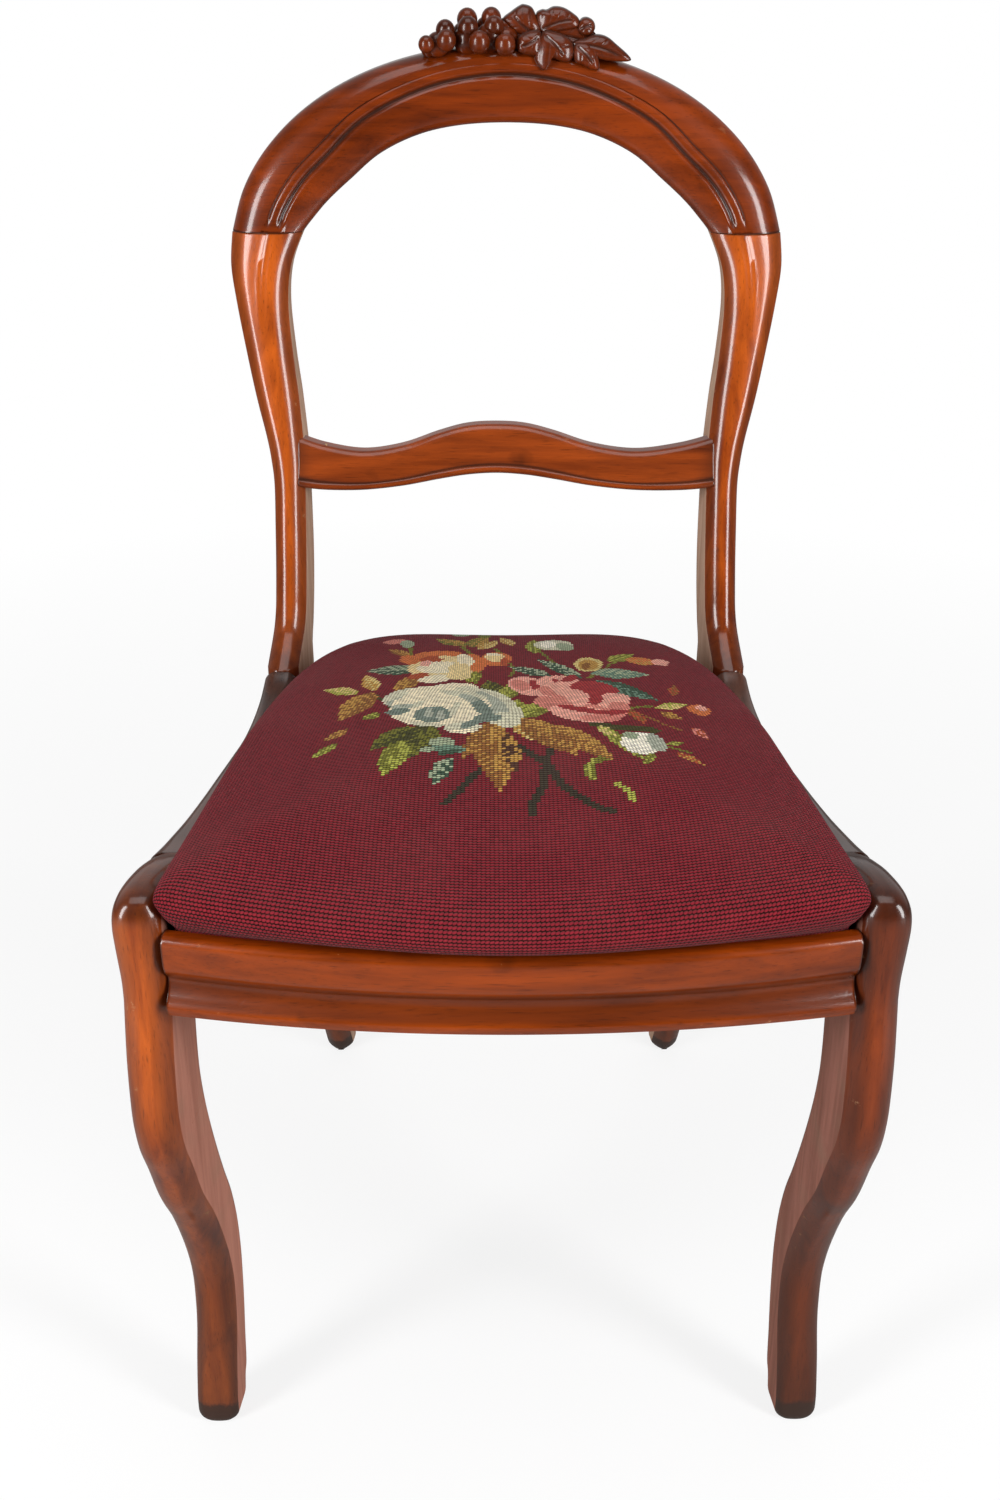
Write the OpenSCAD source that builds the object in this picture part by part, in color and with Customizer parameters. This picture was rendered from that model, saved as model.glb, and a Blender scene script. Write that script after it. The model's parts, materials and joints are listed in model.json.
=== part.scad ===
// Balloon back dining chair with a drop-in needlepoint seat.
// Millimetres, +Z up, +X to the right as seen from the front, the front faces -Y.
// The origin is on the floor, under the middle of the chair's box.

/* [Overall] */
// Width over the two front knees
knee_w = 458; // [440:1:480]
// Depth from the bow of the front rail to the back of the crest rail
chair_d = 545; // [530:1:580]
// Height of the front rail's top edge
seat_h = 451; // [435:1:470]
// Height of the crest rail's top edge, without its carving
crest_h = 882; // [865:0.5:900]
// Rise of the crest rail's arch over its joints with the posts
arch_h = 124; // [110:1:135]
// How far each side runs in for each millimetre towards the back
side_splay_share = 0.1275; // [0.115:0.0025:0.14]

/* [Front legs] */
// Thickness of the boards that the front legs are cut from
leg_t = 29; // [27:0.5:31]
// How far the front of the knee stands behind the bow of the front rail
knee_set = 23.5; // [20:0.5:28]
// Height of the knee's round top above the front rail
knee_rise = 24; // [18:1:30]
// Distance that the leg's sweep is drawn to, from the knee back to the ankle
leg_sweep = 100; // [90:1:110]
// Depth of the knee block, from its front to the joint with the side rail
knee_block_d = 78.5; // [74:0.5:84]
// Radius of the rounded front edges
leg_round = 8; // [5:0.5:10]
// Radius of the rounded edges under the feet
foot_round = 5; // [3:0.5:7]
// Width of the strip glued behind the top of the left leg
strip_w = 30; // [26:1:34]
// Length of that strip
strip_l = 99; // [80:1:110]

/* [Back posts] */
// Thickness of the boards that the posts are cut from
post_t = 24; // [22:0.5:28]
// Distance from the back of the crest rail to the face that takes the side rail
post_set = 157; // [150:1:165]
// Distance from that face to the back of the heel
rear_kick = 157; // [148:1:162]
// How far the back leans between the seat's height and the crest joints
back_rake = 79.82; // [76:0.01:84]
// How far the posts swell outwards into the balloon shape
balloon_swell = 31.7; // [26:0.1:36]
// How far the inner edge follows that swell
inner_swell = 12.8; // [9:0.1:15]
// Radius of the rounded edges
post_round = 6; // [4:0.5:8]

/* [Crest rail] */
// Thickness from front to back
crest_t = 29; // [26:0.5:32]
// Height of the rail over the middle of the opening
crest_rail_h = 51; // [44:0.5:54]
// How far the middle of the outer arch lies under the joints
crest_shoulder = 18; // [12:1:24]
// Width of the raised bead along the arch
bead_w = 7; // [5:0.5:9]
// Depth of the groove under the bead
groove_d = 2.5; // [1.5:0.5:4]
// Width of the carving
carving_w = 144; // [130:1:150]
// Radius of the largest grapes
grape_r = 7.2; // [6.5:0.1:8]

/* [Rails] */
// Height of the front rail
front_rail_h = 53; // [48:1:56]
// Thickness of the front rail at its ends
front_rail_t = 25; // [23:0.5:28]
// Thickness of the lip in front of the seat
front_lip = 10; // [8:0.5:12]
// Depth of the rebate that carries the seat
rebate_d = 16; // [14:0.5:18]
// Thickness of the back rail
back_rail_t = 24; // [20:0.5:26]
// Distance from the crest's back to the back rail's rear face
back_rail_set = 101; // [98:1:105]
// Height of the serpentine cross rail at its middle
cross_h = 35; // [31:0.5:39]
// Thickness of the cross rail
cross_t = 16; // [14:0.5:18]
// Where its underside lies on the way from the seat's height up to the crest joints
cross_place_share = 0.4186; // [0.38:0.0001:0.45]
// Length of a corner block's two glued faces
block_l = 56; // [48:1:60]
// Height of the corner blocks
block_h = 28; // [24:1:32]

/* [Dowels and screws] */
// Diameter of the rail dowels
dowel_d = 9; // [8:0.5:10]
// Length of the dowels between two rails that meet end to end
dowel_l = 56; // [50:1:64]
// Depth of a dowel in a leg's or a post's thickness
dowel_blind = 16; // [14:0.5:18]
// Room round a dowel or a screw
dowel_fit = 0.2; // [0.1:0.05:0.4]
// Diameter of the corner block screws
screw_d = 4.5; // [4:0.5:5]
// Length of the corner block screws
screw_l = 32; // [28:1:34]
// Diameter of their heads
screw_head_d = 8.6; // [7.5:0.1:9.5]
// Diameter of the cover's tack heads
tack_head_d = 7; // [6:0.5:8]
// Length of the tacks
tack_l = 11; // [9:0.5:12]

/* [Seat] */
// Room between the drop-in seat and the inner faces of the legs
seat_gap = 2; // [1.5:0.5:4]
// How much further the seat stands in from the sides at its back
seat_taper = 6; // [4:0.5:8]
// Thickness of the seat frame's rails
frame_t = 16; // [14:0.5:18]
// Width of the seat frame's rails
frame_w = 46; // [40:1:52]
// Thickness of the needlepoint cover
cover_t = 2; // [1.5:0.1:2.5]
// Height of the middle of the cushion above the front rail
crown_rise = 46; // [38:1:54]
// How far the cushion swells over the inner faces of the legs
cover_bulge = 8; // [5:0.5:9]
// Width of the webbing
web_w = 50; // [45:1:55]
// Thickness of the webbing, the burlap and the dust cover
web_t = 1.2; // [1:0.1:1.5]

/* [Hidden] */

half_w = knee_w / 2;
knee_h = seat_h + knee_rise;
under_h = seat_h - front_rail_h;
ledge_h = seat_h - rebate_d;
joint_h = crest_h - arch_h;
cross_z = seat_h + (joint_h - seat_h) * cross_place_share;
post_y = chair_d - post_set;
leg_back_y = knee_set + knee_block_d;
// The side rail's rear end stands this share of the rail's height over its underside
horn_share = 1.047;
horn_h = under_h + front_rail_h * horn_share;
back_rake_share = back_rake / (joint_h - seat_h);
joint_y = post_y + post_set * 0.618;
overrun = 5;
corner_steps = 3;

// Front leg from the foot up and over the knee: front edge and back edge, each as
// a share of leg_sweep behind the knee's front and a share of the knee's height
leg_shares = [
    [0.622, 0.000, 0.795, 0.000], [0.602, 0.011, 0.845, 0.012], [0.598, 0.039, 0.885, 0.047],
    [0.610, 0.065, 0.931, 0.066], [0.640, 0.116, 0.960, 0.118], [0.685, 0.1625, 0.995, 0.175],
    [0.708, 0.207, 1.015, 0.228], [0.706, 0.253, 1.020, 0.280], [0.655, 0.304, 0.990, 0.342],
    [0.558, 0.361, 0.915, 0.402], [0.415, 0.428, 0.805, 0.459], [0.245, 0.492, 0.680, 0.532],
    [0.110, 0.562, 0.575, 0.606], [0.010, 0.611, 0.515, 0.669], [-0.040, 0.657, 0.505, 0.711],
    [-0.045, 0.705, 0.515, 0.754], [-0.030, 0.760, 0.535, 0.796], [0.000, 0.810, 0.550, 0.823]];
// The knee block: the leg's front edge runs on over the top to the joint, and the
// underside lies level with the rails; the fourth share counts along the underside
knee_shares = [
    [0.025, 0.844, 0.00], [0.030, 0.882, 0.08], [0.010, 0.932, 0.17], [0.000, 0.968, 0.26],
    [0.033, 0.989, 0.37], [0.125, 0.999, 0.48], [0.265, 1.000, 0.61], [0.445, 0.995, 0.75],
    [0.625, 0.985, 0.88], [0.785, 0.972, 1.00]];
// Side rail's top edge: share of its length, share of the front rail's height over the underside
side_top_shares = [[0, 1.206], [0.063, 1.128], [0.122, 1.068], [0.245, 0.957], [0.388, 0.868],
    [0.507, 0.812], [0.636, 0.752], [0.752, 0.710], [0.853, 0.758], [0.937, 0.868], [1, 1.047]];
// Rear leg: height as a share of the rails' underside, front and back as shares of rear_kick
rear_leg_shares = [[0, 0.865, 0.965], [0.014, 0.840, 0.985], [0.05, 0.790, 0.965],
    [0.158, 0.660, 0.847], [0.284, 0.535, 0.739], [0.410, 0.433, 0.646], [0.535, 0.338, 0.570],
    [0.661, 0.258, 0.503], [0.786, 0.185, 0.452], [0.900, 0.134, 0.420], [0.967, 0.104, 0.401],
    [0.990, 0.052, 0.395]];
// Back post over the side rail: height as a share of its run up to the crest joint, front
// and back as shares of post_set, outer swell, inner swell and how far it follows the splay
back_post_shares = [[0.000, 0.000, 0.385, 0, 0, 1], [0.022, 0.054, 0.400, 0, 0, 1],
    [0.048, 0.118, 0.424, 0, 0, 1], [0.075, 0.172, 0.443, 0, 0, 1],
    [0.111, 0.213, 0.465, 0, 0, 1], [0.151, 0.236, 0.484, 0, 0, 1],
    [0.224, 0.268, 0.508, 0, 0, 1], [0.304, 0.296, 0.525, 0, 0, 0.95],
    [0.414, 0.331, 0.545, 0, 0, 0.80], [0.475, 0.353, 0.562, 0.06, 0, 0.65],
    [0.530, 0.376, 0.586, 0.16, 0.10, 0.50], [0.625, 0.421, 0.625, 0.40, 0.35, 0.35],
    [0.725, 0.472, 0.672, 0.62, 0.70, 0.20], [0.840, 0.535, 0.725, 0.86, 1.00, 0.10],
    [0.925, 0.578, 0.765, 0.99, 0.85, 0.03], [1.000, 0.618, 0.803, 0.965, 0.20, 0.00]];
// Inner arch of the crest rail: shares of its half width and of its rise, joint to middle
inner_arch_shares = [[1, 0], [0.957, 0.105], [0.876, 0.283], [0.764, 0.480], [0.617, 0.717],
    [0.430, 0.888], [0.230, 0.974], [0, 1]];
// Where the bead lies across the crest rail, from the outer edge, joint to middle
bead_shares = [0.55, 0.53, 0.51, 0.50, 0.42, 0.36, 0.295, 0.263];
// Cross rail: share of the half width, underside and top as shares of cross_h
cross_shares = [[0, 0.296, 1.296], [0.14, 0.259, 1.258], [0.28, 0.167, 1.107],
    [0.46, 0.029, 0.856], [0.66, -0.057, 0.740], [0.86, -0.057, 0.856], [1, 0, 1.028]];
// Front rail's section, from the top of the lip round the front to the back: share of
// front_rail_t behind the bowed face, share of front_rail_h, and how far it follows the bow
front_rail_shares = [[1, 1, 0], [0.16, 1.00, 1], [0.05, 0.965, 1], [0.00, 0.90, 1],
    [0.02, 0.66, 1], [0.10, 0.54, 1], [0.30, 0.42, 0.97], [0.34, 0.36, 0.95], [0.24, 0.24, 0.90],
    [0.02, 0.14, 0.86], [-0.02, 0.08, 0.85], [0.04, 0.00, 0.85], [1, 0, 0]];

// A smooth run of rows through the given ones, with steps rows for each stretch
function run_row(rows, i, u) =
    let (a = rows[max(i - 1, 0)], b = rows[i], c = rows[i + 1], d = rows[min(i + 2, len(rows) - 1)])
    (2 * b + (c - a) * u + (2 * a - 5 * b + 4 * c - d) * u * u + (3 * b - a - 3 * c + d) * u * u * u) / 2;
function smooth(rows, steps) = concat(
    [for (i = [0:len(rows) - 2], k = [0:steps - 1]) run_row(rows, i, k / steps)],
    [rows[len(rows) - 1]]);
// The outer face of a side at depth y, measured from the front rail's bow
function side_x(y) = half_w - side_splay_share * (y - knee_set);
// A rounded rectangle, len_a by len_b, counter-clockwise, with one radius at each end of a
function round_section(len_a, len_b, r0, r1) =
    let (corners = [[r0, r0, r0, 180], [len_a - r1, r1, r1, 270],
                    [len_a - r1, len_b - r1, r1, 0], [r0, len_b - r0, r0, 90]])
    [for (c = corners, k = [0:corner_steps])
        let (a = c[3] + 90 * k / corner_steps) [c[0] + c[2] * cos(a), c[1] + c[2] * sin(a)]];
// A ring of a board: f and b are its front and back edges [y, z], and its thickness runs
// from w0 to w1 inwards from the splayed side, which it follows by the share skew
function board_ring(f, b, w0, w1, r0, r1, skew = 1) =
    let (length = norm(b - f), along = (b - f) / length)
    [for (p = round_section(length, w1 - w0, r0, r1))
        let (q = f + along * p[0])
        [side_x(f[0]) - side_splay_share * skew * (q[0] - f[0]) - w0 - p[1], q[0], q[1]]];

// A closed solid through rings of points, each ring counter-clockwise seen from the first
// ring's far side; closed at both ends
module loft(rings) {
    n = len(rings[0]);
    points = [for (ring = rings, p = ring) p];
    walls = [for (i = [0:len(rings) - 2], k = [0:n - 1]) let (a = i * n + k, b = i * n + (k + 1) % n)
        each [[a, b + n, b], [a, a + n, b + n]]];
    first = [for (k = [0:n - 1]) k];
    last = [for (k = [n - 1:-1:0]) (len(rings) - 1) * n + k];
    polyhedron(points, concat(walls, [first, last]));
}
// Moves the chair from its front datum to the origin under its middle
module placed() {
    translate([0, -chair_d / 2, 0]) children();
}
module on_side(side) {
    if (side > 0) placed() children();
    else mirror([1, 0, 0]) placed() children();
}
module wood() { color([0.48, 0.20, 0.09]) children(); }
module dark_wood() { color([0.34, 0.14, 0.07]) children(); }

// A dowel, or its hole when room is added, from p along the direction v
module peg(p, v, diameter, length, room = 0) {
    tilt = acos(v[2] / norm(v));
    turn = atan2(v[1], v[0]);
    translate(p) rotate([0, tilt, turn])
        cylinder(h = length + room, d = diameter + room, center = true, $fn = 32);
}

// Places of the dowels on the right side; each is [middle, direction, length]
rail_z_shares = [0.30, 0.72];
function across_dowel(y, z) =
    [[side_x(y) - (y < post_y ? leg_t : post_t), y, z], [1, 0, 0], 2 * dowel_blind];
front_dowels = [for (s = rail_z_shares)
    across_dowel(knee_set + front_rail_t * 0.62, under_h + (ledge_h - under_h) * s)];
back_rail_y = chair_d - back_rail_set;
back_dowels = [for (s = rail_z_shares)
    across_dowel(back_rail_y - back_rail_t / 2, under_h + (ledge_h - under_h) * s)];
function side_dowel(y, t, z) =
    [[side_x(y) - t / 2, y, z], [-side_splay_share, 1, 0], dowel_l];
side_front_dowels = [for (s = rail_z_shares)
    side_dowel(leg_back_y, leg_t, under_h + front_rail_h * s)];
side_rear_dowels = [for (s = rail_z_shares) side_dowel(post_y, post_t, under_h + front_rail_h * s)];
joint_outer_x = side_x(joint_y) + balloon_swell * 0.965;
joint_inner_x = side_x(joint_y) - post_t + inner_swell * 0.20;
crest_dowel_shares = [0.3, 0.7];
top_dowels = [for (s = crest_dowel_shares)
    [[joint_inner_x + (joint_outer_x - joint_inner_x) * s, joint_y + crest_t / 2, joint_h],
     [0, back_rake_share, 1], dowel_l * 0.8]];
cross_mid_z = cross_z + cross_h * cross_shares[len(cross_shares) - 1][2] / 2;
// The raked plane of the back's front faces, and the cross rail's front a little behind it
function back_plane_y(z) = joint_y - back_rake_share * (joint_h - z);
cross_set_share = 0.15;
function cross_front_y(z) = back_plane_y(z) + cross_t * cross_set_share;
// Column k of the back post's shares at the height z
function post_share(z, k) =
    lookup((z - horn_h) / (joint_h - horn_h), [for (s = smooth(back_post_shares, 2)) [s[0], s[k]]]);
// The cross rail's ends are cut along the posts' inner faces as they are under the inner
// swell, with this room for the glue
glue_gap = dowel_fit;
function cross_end_x(y, z) = let (front = post_y + post_set * post_share(z, 1))
    side_x(front) - post_t - glue_gap - side_splay_share * post_share(z, 5) * (y - front);
cross_dowel_shares = [-0.22, 0.22];
cross_dowels = [for (s = cross_dowel_shares)
    let (z = cross_mid_z + cross_h * s, y = cross_front_y(z) + cross_t / 2)
    [[cross_end_x(y, z), y, z], [1, 0, 0], 2 * dowel_blind]];

module dowel_holes(places) {
    for (d = places) peg(d[0], d[1], dowel_d, d[2], dowel_fit);
}
module dowels(places) {
    color("burlywood") for (side = [-1, 1]) on_side(side)
        for (d = places) peg(d[0], d[1], dowel_d, d[2]);
}

// How far the sides of a foot are rounded off at the height z
function foot_edge(z) = foot_round * 0.9 * pow(max(0, 1 - z / (2 * foot_round)), 2);
module leg_body() {
    foot = [for (s = leg_shares)
        [knee_set + leg_sweep * s[0], knee_h * s[1], knee_set + leg_sweep * s[2], knee_h * s[3]]];
    last_y = foot[len(foot) - 1][2];
    knee = [for (s = knee_shares)
        [knee_set + leg_sweep * s[0], knee_h * s[1], last_y + (leg_back_y - last_y) * s[2], under_h]];
    rows = concat(smooth(foot, 2), smooth(knee, 2));
    loft([for (r = rows)
        board_ring([r[0], r[1]], [r[2], r[3]], foot_edge(r[1]), leg_t - foot_edge(r[1]),
            leg_round, leg_round / 2)]);
}
// The room of the strip glued behind the top of the leg, up to the knee block's underside
strip_y = knee_set + leg_sweep * leg_shares[len(leg_shares) - 1][2] - strip_w;
module strip_room() {
    translate([side_x(knee_set) - 2 * leg_t, strip_y, under_h - strip_l])
        cube([3 * leg_t, 2 * strip_w, strip_l - leg_round / 2]);
}
module front_leg(side, glued_strip) {
    wood() on_side(side) difference() {
        leg_body();
        dowel_holes(front_dowels);
        dowel_holes(side_front_dowels);
        if (glued_strip) strip_room();
    }
}
module left_leg_strip() {
    dark_wood() on_side(-1) intersection() {
        leg_body();
        strip_room();
    }
}

module post_body() {
    rear = [for (s = rear_leg_shares)
        [post_y + rear_kick * s[1], under_h * s[0], post_y + rear_kick * s[2], under_h * s[0], 0, 0, 1]];
    horn = [for (s = [0, 0.35, 0.7])
        let (z = under_h + (horn_h - under_h) * s, b = post_y + post_set * 0.39)
        [post_y, z, b, z, 0, 0, 1]];
    back = [for (s = back_post_shares)
        let (z = horn_h + (joint_h - horn_h) * s[0])
        [post_y + post_set * s[1], z, post_y + post_set * s[2], z, s[3], s[4], s[5]]];
    rows = concat(smooth(rear, 2), horn, smooth(back, 2));
    loft([for (r = rows)
        board_ring([r[0], r[1]], [r[2], r[3]], foot_edge(r[1]) - balloon_swell * r[4],
            post_t - foot_edge(r[1]) - inner_swell * r[5], post_round, post_round * 0.6, r[6])]);
}
module back_post(side) {
    wood() on_side(side) difference() {
        post_body();
        dowel_holes(side_rear_dowels);
        dowel_holes(back_dowels);
        dowel_holes(cross_dowels);
        dowel_holes(top_dowels);
    }
}

module side_rail(side) {
    run = post_y - leg_back_y;
    rows = smooth([for (s = side_top_shares)
        [leg_back_y + run * s[0], under_h + front_rail_h * s[1], s[0]]], 2);
    wood() on_side(side) difference() {
        loft([for (r = rows) board_ring([r[0], r[1]], [r[0], under_h], 0,
            leg_t + (post_t - leg_t) * r[2], leg_round, leg_round / 2)]);
        dowel_holes(side_front_dowels);
        dowel_holes(side_rear_dowels);
    }
}

// Section of the front rail at the share s of its half length
bow_steps = 8;
function bow(s) = knee_set * s * s;
function front_ring(s) = [for (p = front_rail_shares)
    let (y = knee_set * (1 - p[2]) + bow(s) * p[2] + front_rail_t * p[0], z = under_h + front_rail_h * p[1])
    [s * (side_x(y) - leg_t), y, z]];
module front_rail() {
    lip_x = side_x(knee_set + front_lip) - leg_t + overrun;
    rear_y = knee_set + front_rail_t + overrun;
    wood() placed() difference() {
        for (side = [0, 1]) mirror([side, 0, 0])
            loft([for (k = [0:bow_steps]) front_ring(k / bow_steps)]);
        translate([0, 0, ledge_h]) linear_extrude(rebate_d + overrun)
            polygon(concat([[lip_x, rear_y], [-lip_x, rear_y]],
                [for (k = [-bow_steps:bow_steps])
                    [lip_x * k / bow_steps, front_lip + bow(k / bow_steps)]]));
        for (side = [0, 1]) mirror([side, 0, 0]) dowel_holes(front_dowels);
    }
}
module back_rail() {
    y0 = back_rail_y - back_rail_t;
    x0 = side_x(y0) - post_t;
    x1 = side_x(back_rail_y) - post_t;
    wood() placed() difference() {
        translate([0, 0, under_h]) linear_extrude(ledge_h - under_h)
            polygon([[-x0, y0], [x0, y0], [x1, back_rail_y], [-x1, back_rail_y]]);
        for (side = [0, 1]) mirror([side, 0, 0]) dowel_holes(back_dowels);
    }
}

// Crest rail: stations from the right joint over the top to the left joint, each
// [outer x, outer z, inner x, inner z, share of the bead's place, how strongly the bead shows]
// The outer arch is a superellipse, a little fuller at the shoulders than an ellipse
arch_power = 2.05;
crest_b = crest_h - joint_h + crest_shoulder;
crest_start = asin(pow(crest_shoulder / crest_b, arch_power / 2));
crest_a = joint_outer_x / pow(cos(crest_start), 2 / arch_power);
crest_last = len(inner_arch_shares) - 1;
function crest_row(i) =
    let (a = crest_start + (90 - crest_start) * i / crest_last, s = inner_arch_shares[i])
    [crest_a * pow(max(0, cos(a)), 2 / arch_power),
     joint_h - crest_shoulder + crest_b * pow(sin(a), 2 / arch_power),
     joint_inner_x * s[0], joint_h + (crest_h - crest_rail_h - joint_h) * s[1],
     bead_shares[i], i == 0 ? 0 : 1];
function mirrored_row(r) = [-r[0], r[1], -r[2], r[3], r[4], r[5]];
crest_rows = smooth(concat([for (i = [0:crest_last]) crest_row(i)],
    [for (i = [crest_last - 1:-1:0]) mirrored_row(crest_row(i))]), 3);
// Rolled edges of the moulding
roll_share = 0.42;
function crest_ring(r) =
    let (outer = [r[0], r[1]], inner = [r[2], r[3]], width = norm(inner - outer),
         bead = width * r[4], hill = width - bead, roll = crest_t * roll_share,
         front = [[0, roll], [bead * 0.05, roll * 0.45], [bead * 0.18, roll * 0.12], [bead * 0.45, 0],
                  [bead - bead_w / 2, groove_d * 0.2 * r[5]], [bead, 0], [bead + bead_w / 2, 0],
                  [bead + bead_w * 0.7, groove_d * r[5]],
                  [bead + bead_w * 1.1, groove_d * 0.2 * r[5]], [bead + hill * 0.6, roll * 0.03],
                  [bead + hill * 0.82, roll * 0.25], [bead + hill * 0.95, roll * 0.6], [width, roll]],
         back = [[width, crest_t - roll * 0.4], [width - roll * 0.4, crest_t],
                 [roll * 0.4, crest_t], [0, crest_t - roll * 0.4]],
         points = concat(front, back))
    [for (k = [len(points) - 1:-1:0])
        let (p = points[k], q = outer + (inner - outer) * p[0] / width)
        [q[0], back_plane_y(q[1]) + p[1], q[1]]];
module crest_rail() {
    wood() placed() difference() {
        loft([for (r = crest_rows) crest_ring(r)]);
        for (side = [0, 1]) mirror([side, 0, 0]) dowel_holes(top_dowels);
    }
}

cross_rows = smooth(concat([for (i = [len(cross_shares) - 1:-1:1])
    [-cross_shares[i][0], cross_shares[i][1], cross_shares[i][2]]], cross_shares), 2);
// The hump stands a little left of the middle
hump_share = 0.05;
cross_round_share = 0.3;
function cross_ring(r) =
    let (z0 = cross_z + cross_h * r[1], z1 = cross_z + cross_h * r[2], corner = cross_t * cross_round_share)
    [for (p = round_section(cross_t, z1 - z0, corner, corner * 0.6))
        let (z = z0 + p[1], y = cross_front_y(z) + p[0])
        [(r[0] - hump_share * (1 - r[0] * r[0])) * cross_end_x(y, z), y, z]];
module cross_rail() {
    wood() placed() difference() {
        loft([for (r = cross_rows) cross_ring(r)]);
        for (side = [0, 1]) mirror([side, 0, 0]) dowel_holes(cross_dowels);
    }
}

// Grapes: x, height over the crest rail and depth behind its front plane as shares of
// the carving's width, radius as a share of the largest grape
grape_shares = [[-0.399, 0.011, -0.035, 0.75], [-0.300, 0.029, -0.035, 0.94],
    [-0.138, 0.021, -0.035, 1.00], [-0.010, 0.010, -0.035, 0.98], [-0.306, 0.072, 0.007, 0.90],
    [-0.194, 0.082, 0.007, 1.00], [-0.066, 0.087, 0.007, 0.95], [-0.198, 0.117, 0.056, 0.98],
    [-0.079, 0.122, 0.056, 0.96], [-0.304, 0.034, 0.070, 0.95], [-0.386, -0.016, 0.045, 0.80],
    [-0.221, 0.049, 0.105, 1.00], [-0.106, 0.074, 0.110, 1.00], [-0.006, 0.074, 0.080, 0.95],
    [-0.196, 0.024, 0.040, 1.35], [-0.086, 0.029, 0.045, 1.40], [-0.006, 0.019, 0.050, 1.25],
    [-0.345, 0.005, 0.020, 1.10]];
function carving_point(s) =
    let (z = crest_h + carving_w * s[1])
    [carving_w * s[0], back_plane_y(z) + carving_w * s[2], z];
module grape_cluster() {
    dark_wood() placed() for (s = grape_shares)
        translate(carving_point(s)) sphere(r = grape_r * s[3], $fn = 32);
}
// Lobes of the vine leaf, each from one ball to another: places as for the grapes, radii
// as shares of the largest grape
lobe_shares = [[[0.090, 0.164, 0.030], 0.35, [0.150, 0.060, 0.030], 1.05],
    [[0.070, 0.156, 0.035], 0.45, [0.020, 0.060, 0.040], 1.20],
    [[0.245, 0.136, 0.050], 0.85, [0.160, 0.060, 0.045], 1.15],
    [[0.330, 0.110, 0.040], 0.75, [0.220, 0.056, 0.040], 1.10],
    [[0.390, 0.088, 0.025], 0.80, [0.300, 0.036, 0.040], 1.05],
    [[0.585, -0.042, -0.012], 0.35, [0.440, 0.021, 0.015], 1.15],
    [[0.390, -0.032, -0.025], 0.50, [0.340, 0.016, 0.020], 1.15],
    [[0.178, -0.069, -0.020], 0.30, [0.200, 0.016, 0.010], 1.25]];
module leaf_spray() {
    dark_wood() placed() {
        for (s = lobe_shares) hull() {
            translate(carving_point(s[0])) sphere(r = grape_r * s[1], $fn = 12);
            translate(carving_point(s[2])) sphere(r = grape_r * s[3], $fn = 12);
        }
        translate(carving_point([0.104, 0.029, -0.020])) sphere(r = grape_r, $fn = 32);
    }
}

// Corner blocks: triangles in plan, glued into the corners and held by two screws each
module block(front, side) {
    y0 = front ? knee_set + front_rail_t : back_rail_y - back_rail_t;
    way = front ? 1 : -1;
    t = front ? leg_t : post_t;
    z0 = ledge_h - block_h;
    // The rear blocks end where the posts do
    y1 = front ? y0 + block_l : max(y0 - block_l, post_y);
    dark_wood() on_side(side) difference() {
        translate([0, 0, z0]) linear_extrude(block_h)
            polygon([[side_x(y0) - t, y0], [side_x(y1) - t, y1],
                [side_x(y1) - t - block_l * 0.1, y1],
                [side_x(y0) - t - block_l, y0 + way * block_l * 0.1],
                [side_x(y0) - t - block_l, y0]]);
        for (s = block_screws_at(front)) peg(s[0], s[1], screw_d, screw_l * 3, dowel_fit);
        for (s = block_screws_at(front))
            translate(s[0]) rotate([0, 90, atan2(s[1][1], s[1][0])])
                translate([0, 0, -screw_l * 3])
                    cylinder(h = screw_l * 3, d = screw_head_d + dowel_fit, $fn = 32);
    }
}
// Screw heads and ways on the right side: one into the cross member, one into the side,
// which it enters between the heights of the side rail's dowels
between_z = under_h + front_rail_h * (rail_z_shares[0] + rail_z_shares[1]) / 2;
screw_reach_share = 0.45;
function block_screws_at(front) =
    let (y0 = front ? knee_set + front_rail_t : back_rail_y - back_rail_t, way = front ? 1 : -1,
         t = front ? leg_t : post_t, a = block_l * screw_reach_share, z = ledge_h - block_h / 2)
    [[[side_x(y0) - t - a, y0 + way * block_l * 0.22, z + block_h * 0.2], [0, -way, 0]],
     [[side_x(y0 + way * a) - t - block_l * 0.22, y0 + way * a, between_z], [1, 0, 0]]];
module screw(s) {
    translate(s[0]) rotate([0, 90, atan2(s[1][1], s[1][0])]) {
        cylinder(h = screw_l, d = screw_d, $fn = 24);
        translate([0, 0, -screw_head_d * 0.3]) cylinder(h = screw_head_d * 0.3, d = screw_head_d, $fn = 24);
    }
}
module block_screws() {
    color("gray") for (side = [-1, 1], front = [true, false]) on_side(side)
        for (s = block_screws_at(front)) screw(s);
}

// The seat's plan: a rounded trapezoid that follows the legs' inner faces and the bow
seat_front_y = front_lip + seat_gap / 2;
seat_back_y = back_rail_y - seat_gap;
seat_mid_y = (seat_front_y + seat_back_y) / 2;
seat_half_d = (seat_back_y - seat_front_y) / 2;
// Directions of the plan's points from its middle, closer together at the corners
quarter_shares = [0, 0.15, 0.28, 0.38, 0.44, 0.48, 0.5, 0.52, 0.56, 0.62, 0.72, 0.85];
plan_angles = [for (q = [0:3], s = quarter_shares) 90 * (q + s)];
plan_steps = len(plan_angles);
// How square the front corners are, and the rear ones at the frame and at the swell
front_power = 60;
rear_power = 7;
rear_top_power = 4.4;
function seat_half(y) = side_x(y) - leg_t - seat_gap - seat_taper * (y - seat_front_y) / (2 * seat_half_d);
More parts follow.
